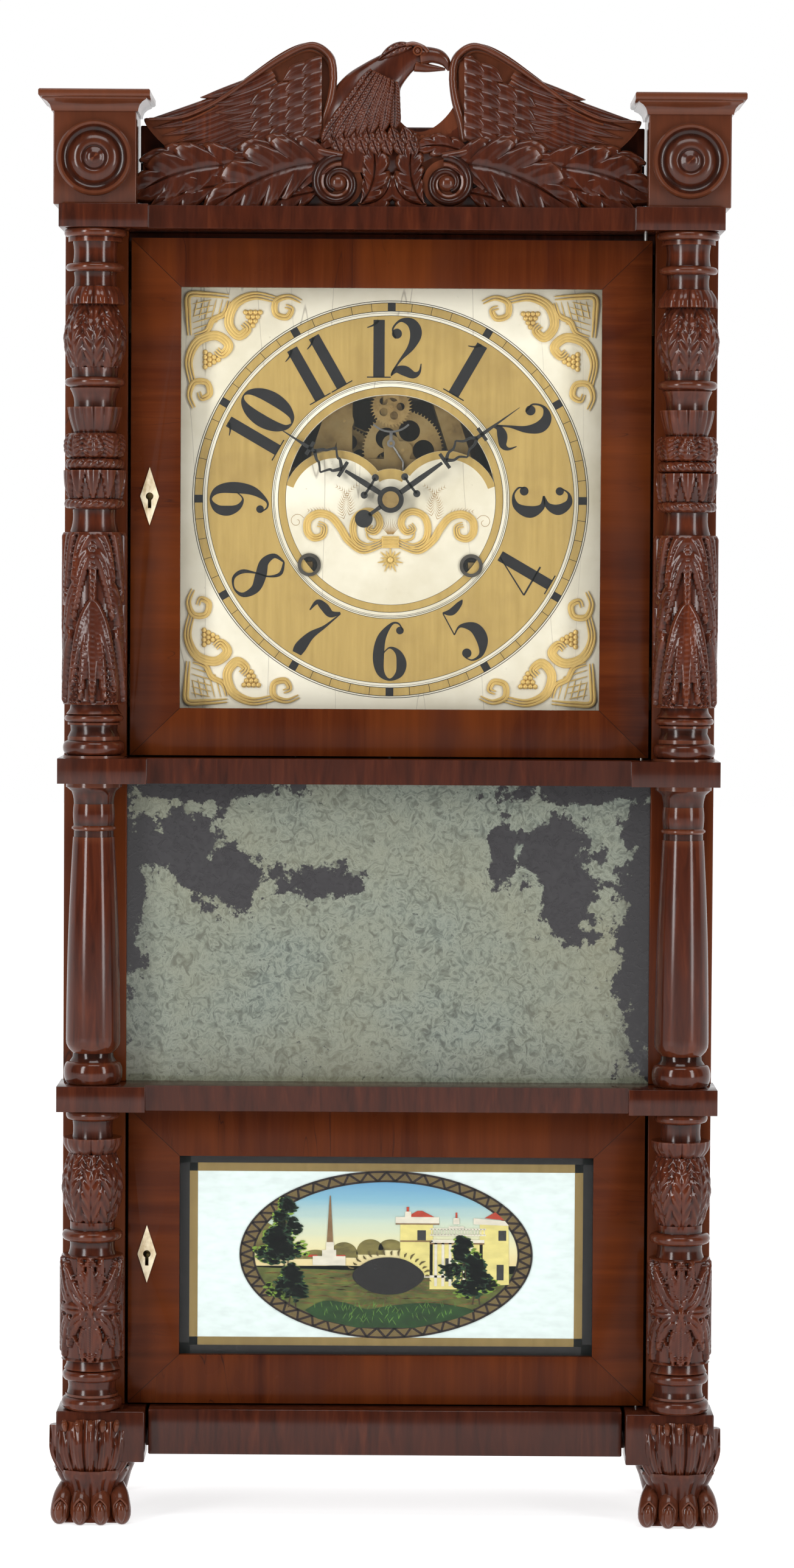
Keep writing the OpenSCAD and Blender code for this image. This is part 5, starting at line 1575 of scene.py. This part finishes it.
def paint_landscape():
    """Sky, meadow, far trees and the near bank with its grass."""
    bx, bz = OVAL_INNER
    bm = bmesh.new()
    plate(bm, oval(0.0, TABLET_Z, bx + 1, bz + 1), DEPTH["sky"], DEPTH["sky"] + FILM)
    piece("tablet_sky", bm, sky_paint(TABLET_Z, bz), "lower_door", smooth=False)
    ground_line = [(-90, -8), (-60, -9), (-30, -7), (0, -9), (30, -10), (60, -12), (90, -12)]
    lower = [(90 * math.cos(math.radians(a)), 52 * math.sin(math.radians(a))) for a in range(-8, -173, -6)]
    field = [tuple(p) for p in smooth_line(ground_line, steps=4)] + lower
    layer("tablet_meadow", in_picture([field]), "land", (0.085, 0.10, 0.018), spread=0.45)
    bm = bmesh.new()
    for row in range(7):
        for k in range(46):
            px = -82 + 3.65 * k + dice.uniform(-2, 2)
            pz = TABLET_Z - 12 - row * 4.0 + dice.uniform(-1.4, 1.4)
            if math.hypot(px / (bx - 6), (pz - TABLET_Z) / (bz - 2)) < 1:
                brush(bm, [(px - 4, pz, 0.1), (px, pz + 0.3, 0.75), (px + 4, pz, 0.1)],
                      DEPTH["land"] - 0.03, DEPTH["land"], 2)
    painted("tablet_meadow_strokes", bm, (0.14, 0.085, 0.02), spread=0.5)
    hills = []
    for px, pz, r, h in ((-80, 2, 13, 19), (-62, -3, 8, 8), (-45, -3, 9, 6), (-27, -2, 9, 10),
                         (-10, 0, 9, 10), (3, 3, 8, 7)):
        arc = [math.radians(a) for a in range(0, 181, 12)]
        hills.append([(px + r * math.cos(a), pz + h * max(0.0, math.sin(a)) ** 0.8) for a in arc])
    layer("tablet_far_trees", in_picture(hills), "hill", (0.155, 0.13, 0.035), spread=0.5)
    bank = [tuple(p) for p in smooth_line([(-52, -36), (-40, -30), (-26, -31), (-12, -35), (8, -32),
                                           (30, -31), (52, -34), (58, -37)], steps=4)]
    bank += [(50, -44), (20, -49), (-20, -49), (-44, -42)]
    layer("tablet_near_bank", in_picture([bank]), "house", (0.012, 0.045, 0.008), spread=0.4)
    bm = bmesh.new()
    for k in range(120):
        px = dice.uniform(-46, 50)
        pz = dice.uniform(-46, -33)
        if math.hypot(px / (bx - 5), pz / (bz - 2)) < 1:
            lean = dice.uniform(-1.5, 1.5)
            foot = TABLET_Z + pz
            brush(bm, [(px, foot, 0.3), (px + lean, foot + 2, 0.4), (px + 2 * lean, foot + 3.6, 0.06)],
                  DEPTH["window"], DEPTH["window"] + 0.05, 2)
    painted("tablet_grass", bm, (0.10, 0.22, 0.03), spread=0.5)


def paint_house():
    """A yellow house with two wings, a white wall and an obelisk beside it."""
    house = [rect(9, -13, 30, 22), rect(60, -20, 84, 21), rect(28, -22, 62, 9)]
    layer("tablet_house", in_picture(house), "house", (0.66, 0.58, 0.20), spread=0.12)
    trim = [rect(6, 20.5, 34, 24.5), rect(56, 20, 82, 24), rect(29, 8, 63, 10), rect(28, 12.5, 64, 13.4),
            rect(28, 16.4, 64, 17.3), rect(8, -14.5, 40, -13), rect(40, 17.5, 50, 18.6),
            rect(43, 20, 47, 24), rect(12, 24.5, 16, 28)]
    trim += [rect(31 + 4.6 * k, -20, 32.8 + 4.6 * k, 8) for k in range(6)]
    trim += [rect(29 + 2.1 * k, 13, 29.5 + 2.1 * k, 17) for k in range(17)]
    trim += [rect(-47, -7, -26, -1), rect(-41, -1, -32, 3), rect(-38.5, 3, -33.5, 8)]
    layer("tablet_house_trim", in_picture(trim), "trim", (0.66, 0.62, 0.50), spread=0.12)
    steeple = [[(-38, 8), (-34, 8), (-35.7, 38), (-36.3, 38)], rect(28, 7, 63, 8), rect(9, 8.5, 30, 9.4),
               rect(6, 19.6, 34, 20.5)]
    layer("tablet_steeple", in_picture(steeple, False), "trim", (0.20, 0.115, 0.05))
    roofs = [[(13, 24.5), (31, 24.5), (23, 28.5), (20, 28.5)], [(63, 24), (80, 24), (73, 28), (70, 28)],
             rect(13, 28, 14.6, 31), rect(44.4, 24, 45.6, 27.5), rect(-50, -1.6, -44, -0.2),
             rect(-32, -1.6, -26, -0.2)]
    layer("tablet_red_roofs", in_picture(roofs), "window", (0.42, 0.045, 0.02))
    panes = [rect(20, 9.5, 25.5, 16), rect(72, 9.5, 77, 16), rect(38, -17, 43, -2), rect(71, -16, 75.5, -6),
             rect(-38, 4, -37, 6.5), rect(-35.5, 4, -34.5, 6.5)]
    layer("tablet_windows", in_picture(panes), "window", (0.03, 0.03, 0.028))


def paint_trees():
    bm = bmesh.new()
    for x, z, h in ((-64, -20, 56), (-60, -32, 24), (50, -22, 33), (58, -30, 22)):
        for s in (-1, 1):
            foot = TABLET_Z + z
            brush(bm, [(x + s * 2.4, foot - 2, 0.9), (x + s, foot + h * 0.3, 0.6),
                       (x, foot + h * 0.8, 0.25)],
                  DEPTH["tree"] + 0.04, DEPTH["tree"] + 0.08, 3)
    painted("tablet_trunks", bm, (0.05, 0.028, 0.012))
    bm = bmesh.new()
    light = bmesh.new()
    for x, z, h, seed in ((-64, -20, 56, 3), (-60, -34, 26, 5), (50, -22, 33, 8), (58, -32, 26, 11),
                          (-70, -10, 26, 13)):
        tree(bm, x, TABLET_Z + z, h, DEPTH["tree"], seed)
        tree(light, x - 1.4, TABLET_Z + z + 1.2, h * 0.96, DEPTH["tree"] + 0.07, seed + 40)
    painted("tablet_trees", bm, (0.008, 0.035, 0.010), spread=0.5)
    painted("tablet_tree_light", light, (0.16, 0.27, 0.025), spread=0.5)


def paint_pendulum_sight():
    """A near-black oval where the pendulum shows: painted shade in place of the clear opening, inside a wreath of
    leaves.
    """
    sight_x = 1.5
    sight_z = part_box("pendulum_bob")[0].z / MM + 39
    turn = [2 * math.pi * i / 48 for i in range(48)]
    edge = [(sight_x + 22 * math.cos(t) * (1 + 0.05 * math.cos(4 * t)),
             sight_z + 12 * math.sin(t)) for t in turn]
    layer("tablet_pendulum_sight_shade", [edge], "sight", (0.006, 0.004, 0.004), rough=0.15)
    bm = bmesh.new()
    leaves = 34
    for k in range(leaves):
        a = 2 * math.pi * k / leaves
        px, pz = sight_x + 23.5 * math.cos(a), sight_z + 13.4 * math.sin(a)
        out = 4.8 if k % 2 else 3.2
        brush(bm, [(px, pz, 0.4), (px + out * 0.5 * math.cos(a + 0.3), pz + out * 0.5 * math.sin(a + 0.3),
                                   1.3),
                   (px + out * math.cos(a), pz + out * math.sin(a), 0.1)], DEPTH["wreath"],
                   DEPTH["wreath"] + FILM, 2)
    painted("tablet_wreath", bm, (0.10, 0.075, 0.022))


def make_tablet():
    paint_border()
    paint_landscape()
    paint_house()
    paint_trees()
    ring_and_zigzag(0.0, TABLET_Z, OVAL_OUTER, OVAL_INNER, DEPTH)
    paint_pendulum_sight()


def ring_and_zigzag(cx, cz, outer, inner, depth):
    """The oval border: a gilt band crossed by a dark zigzag."""
    bm = bmesh.new()
    steps = 96
    for i in range(steps):
        a0, a1 = 2 * math.pi * i / steps, 2 * math.pi * (i + 1) / steps
        plate(bm, [(cx + r[0] * math.cos(a), cz + r[1] * math.sin(a)) for r, a in
                   ((inner, a0), (outer, a0), (outer, a1), (inner, a1))], depth["ring"],
                   depth["ring"] + 0.06)
    bmesh.ops.remove_doubles(bm, verts=bm.verts, dist=2e-6)
    piece("tablet_oval_band", bm, gold_leaf("oval_bronze", 0.3), "lower_door", smooth=False)
    bm = bmesh.new()
    teeth = 96
    for i in range(teeth):
        a0, a1 = 2 * math.pi * i / teeth, 2 * math.pi * (i + 1) / teeth
        ends = (inner, outer) if i % 2 else (outer, inner)
        p, q = [(cx + r[0] * math.cos(a), cz + r[1] * math.sin(a), 1.5) for r, a in zip(ends, (a0, a1))]
        brush(bm, [p, q], depth["ring"] - 0.05, depth["ring"], 1)
    for edge in (outer, inner):
        for i in range(96):
            a0, a1 = 2 * math.pi * i / 96, 2 * math.pi * (i + 1) / 96
            brush(bm, [(cx + edge[0] * math.cos(a), cz + edge[1] * math.sin(a), 1.3) for a in (a0, a1)],
                  depth["ring"] - 0.05, depth["ring"], 1)
    painted("tablet_zigzag", bm, (0.018, 0.008, 0.006))


def sky_paint(cz, half):
    m, t, s = new_finish("sky_paint", (0.4, 0.55, 0.6), rough=0.4)
    z = add(t, "SeparateXYZ", Vector=add(t, "TexCoord").outputs["Object"]).outputs["Z"]
    span = add(t, "MapRange", Value=z)
    span.inputs["From Min"].default_value = (cz - 12) * MM
    span.inputs["From Max"].default_value = (cz + half) * MM
    streak = noise(t, (8, 8, 260), 1.0, detail=3)
    level = add(t, "Math", {"operation": "ADD"})
    t.links.new(span.outputs[0], level.inputs[0])
    shift = add(t, "Math", {"operation": "MULTIPLY_ADD"})
    t.links.new(streak, shift.inputs[0])
    shift.inputs[1].default_value = 0.12
    shift.inputs[2].default_value = -0.06
    t.links.new(shift.outputs[0], level.inputs[1])
    sky = ramp(t, level.outputs[0], (0.0, (0.68, 0.52, 0.22)), (0.28, (0.72, 0.66, 0.36)),
               (0.55, (0.50, 0.60, 0.48)), (0.8, (0.20, 0.42, 0.52)), (1.0, (0.10, 0.30, 0.50)))
    t.links.new(sky, s.inputs["Base Color"])
    return m


# ---------------------------------------------------------------- movement, pendulum and weights

def finish_movement():
    steel = dull_metal("wire_steel", (0.42, 0.41, 0.39), 0.35)
    iron = dull_metal("cast_iron", (0.035, 0.034, 0.034), 0.62, 0.6)
    cord = cotton_cord()
    straps = aged_brass("strap_brass", 0.8)
    looks = {
        straps: ("front_straps", "back_straps"),
        BRASS: ("escape_cock", "time_pulley", "strike_pulley", "centre_wheel", "hour_wheel", "minute_wheel",
                "upper_lock", "lower_lock", "upper_lock_bolt", "lower_lock_bolt", "time_great_wheel",
                "time_drum", "time_second_wheel", "time_third_wheel", "escape_wheel", "strike_great_wheel",
                "strike_drum", "pin_wheel", "warning_wheel", "fly", "pendulum_bob"),
        steel: ("door_pivots", "pulley_brackets", "verge", "pendulum_rod", "hammer"),
        iron: ("bell", "time_weight", "strike_weight"),
        cord: ("cord_leads",),
    }
    for material, nodes in looks.items():
        for node in nodes:
            show_as(node, material)
    for side in ("time", "strike"):
        hanging_cord(side, cord)


def hanging_cord(side, material):
    """The cord between pulley and weight."""
    lo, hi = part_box(side + "_cord")
    x, y = (lo.x + hi.x) / 2, (lo.y + hi.y) / 2
    bm = bmesh.new()
    points = [Vector((x, y, lo.z + (hi.z - lo.z) * i / 40)) for i in range(41)]
    tube(bm, points, (hi.x - lo.x) / 2, sides=12)
    made = piece(side + "_cord_braided", bm, material, "case", [side + "_cord"])
    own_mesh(made)


# ---------------------------------------------------------------- run

# A brighter copy of the carved mahogany (light 1.45) for the upper and lower columns and the feet: painted light,
# standing in for the lamp highlights on the columns.
WOOD = carved_mahogany(light=1.45)
BRASS = aged_brass()
HAND_BLACK = dull_metal("hand_black", (0.02, 0.019, 0.018), 0.5, 0.3)

set_camera()
set_light()
make_floor()

column_pair("upper_columns_carved", "upper_columns", UPPER_BANDS, WOOD)
# The middle columns get a brighter copy too (light 1.3): painted highlight on top of the glossier finish.
column_pair("middle_columns_turned", "middle_columns", MIDDLE_BANDS,
            carved_mahogany("polished_columns", 1.3, 0.16))
column_pair("lower_columns_carved", "lower_columns", LOWER_BANDS, WOOD)
carve_crest()
make_chimneys()
make_feet()
turn_rear_feet()
finish_case()
finish_doors()
make_dial()
make_hand("minute_hand_pierced", "minute_hand", "centre_arbor", 54.2, 101, 5.2, True)
make_hand("hour_hand_pierced", "hour_hand", "hour_pipe", 302.2, 86, 7.6, False)
make_tablet()
finish_movement()
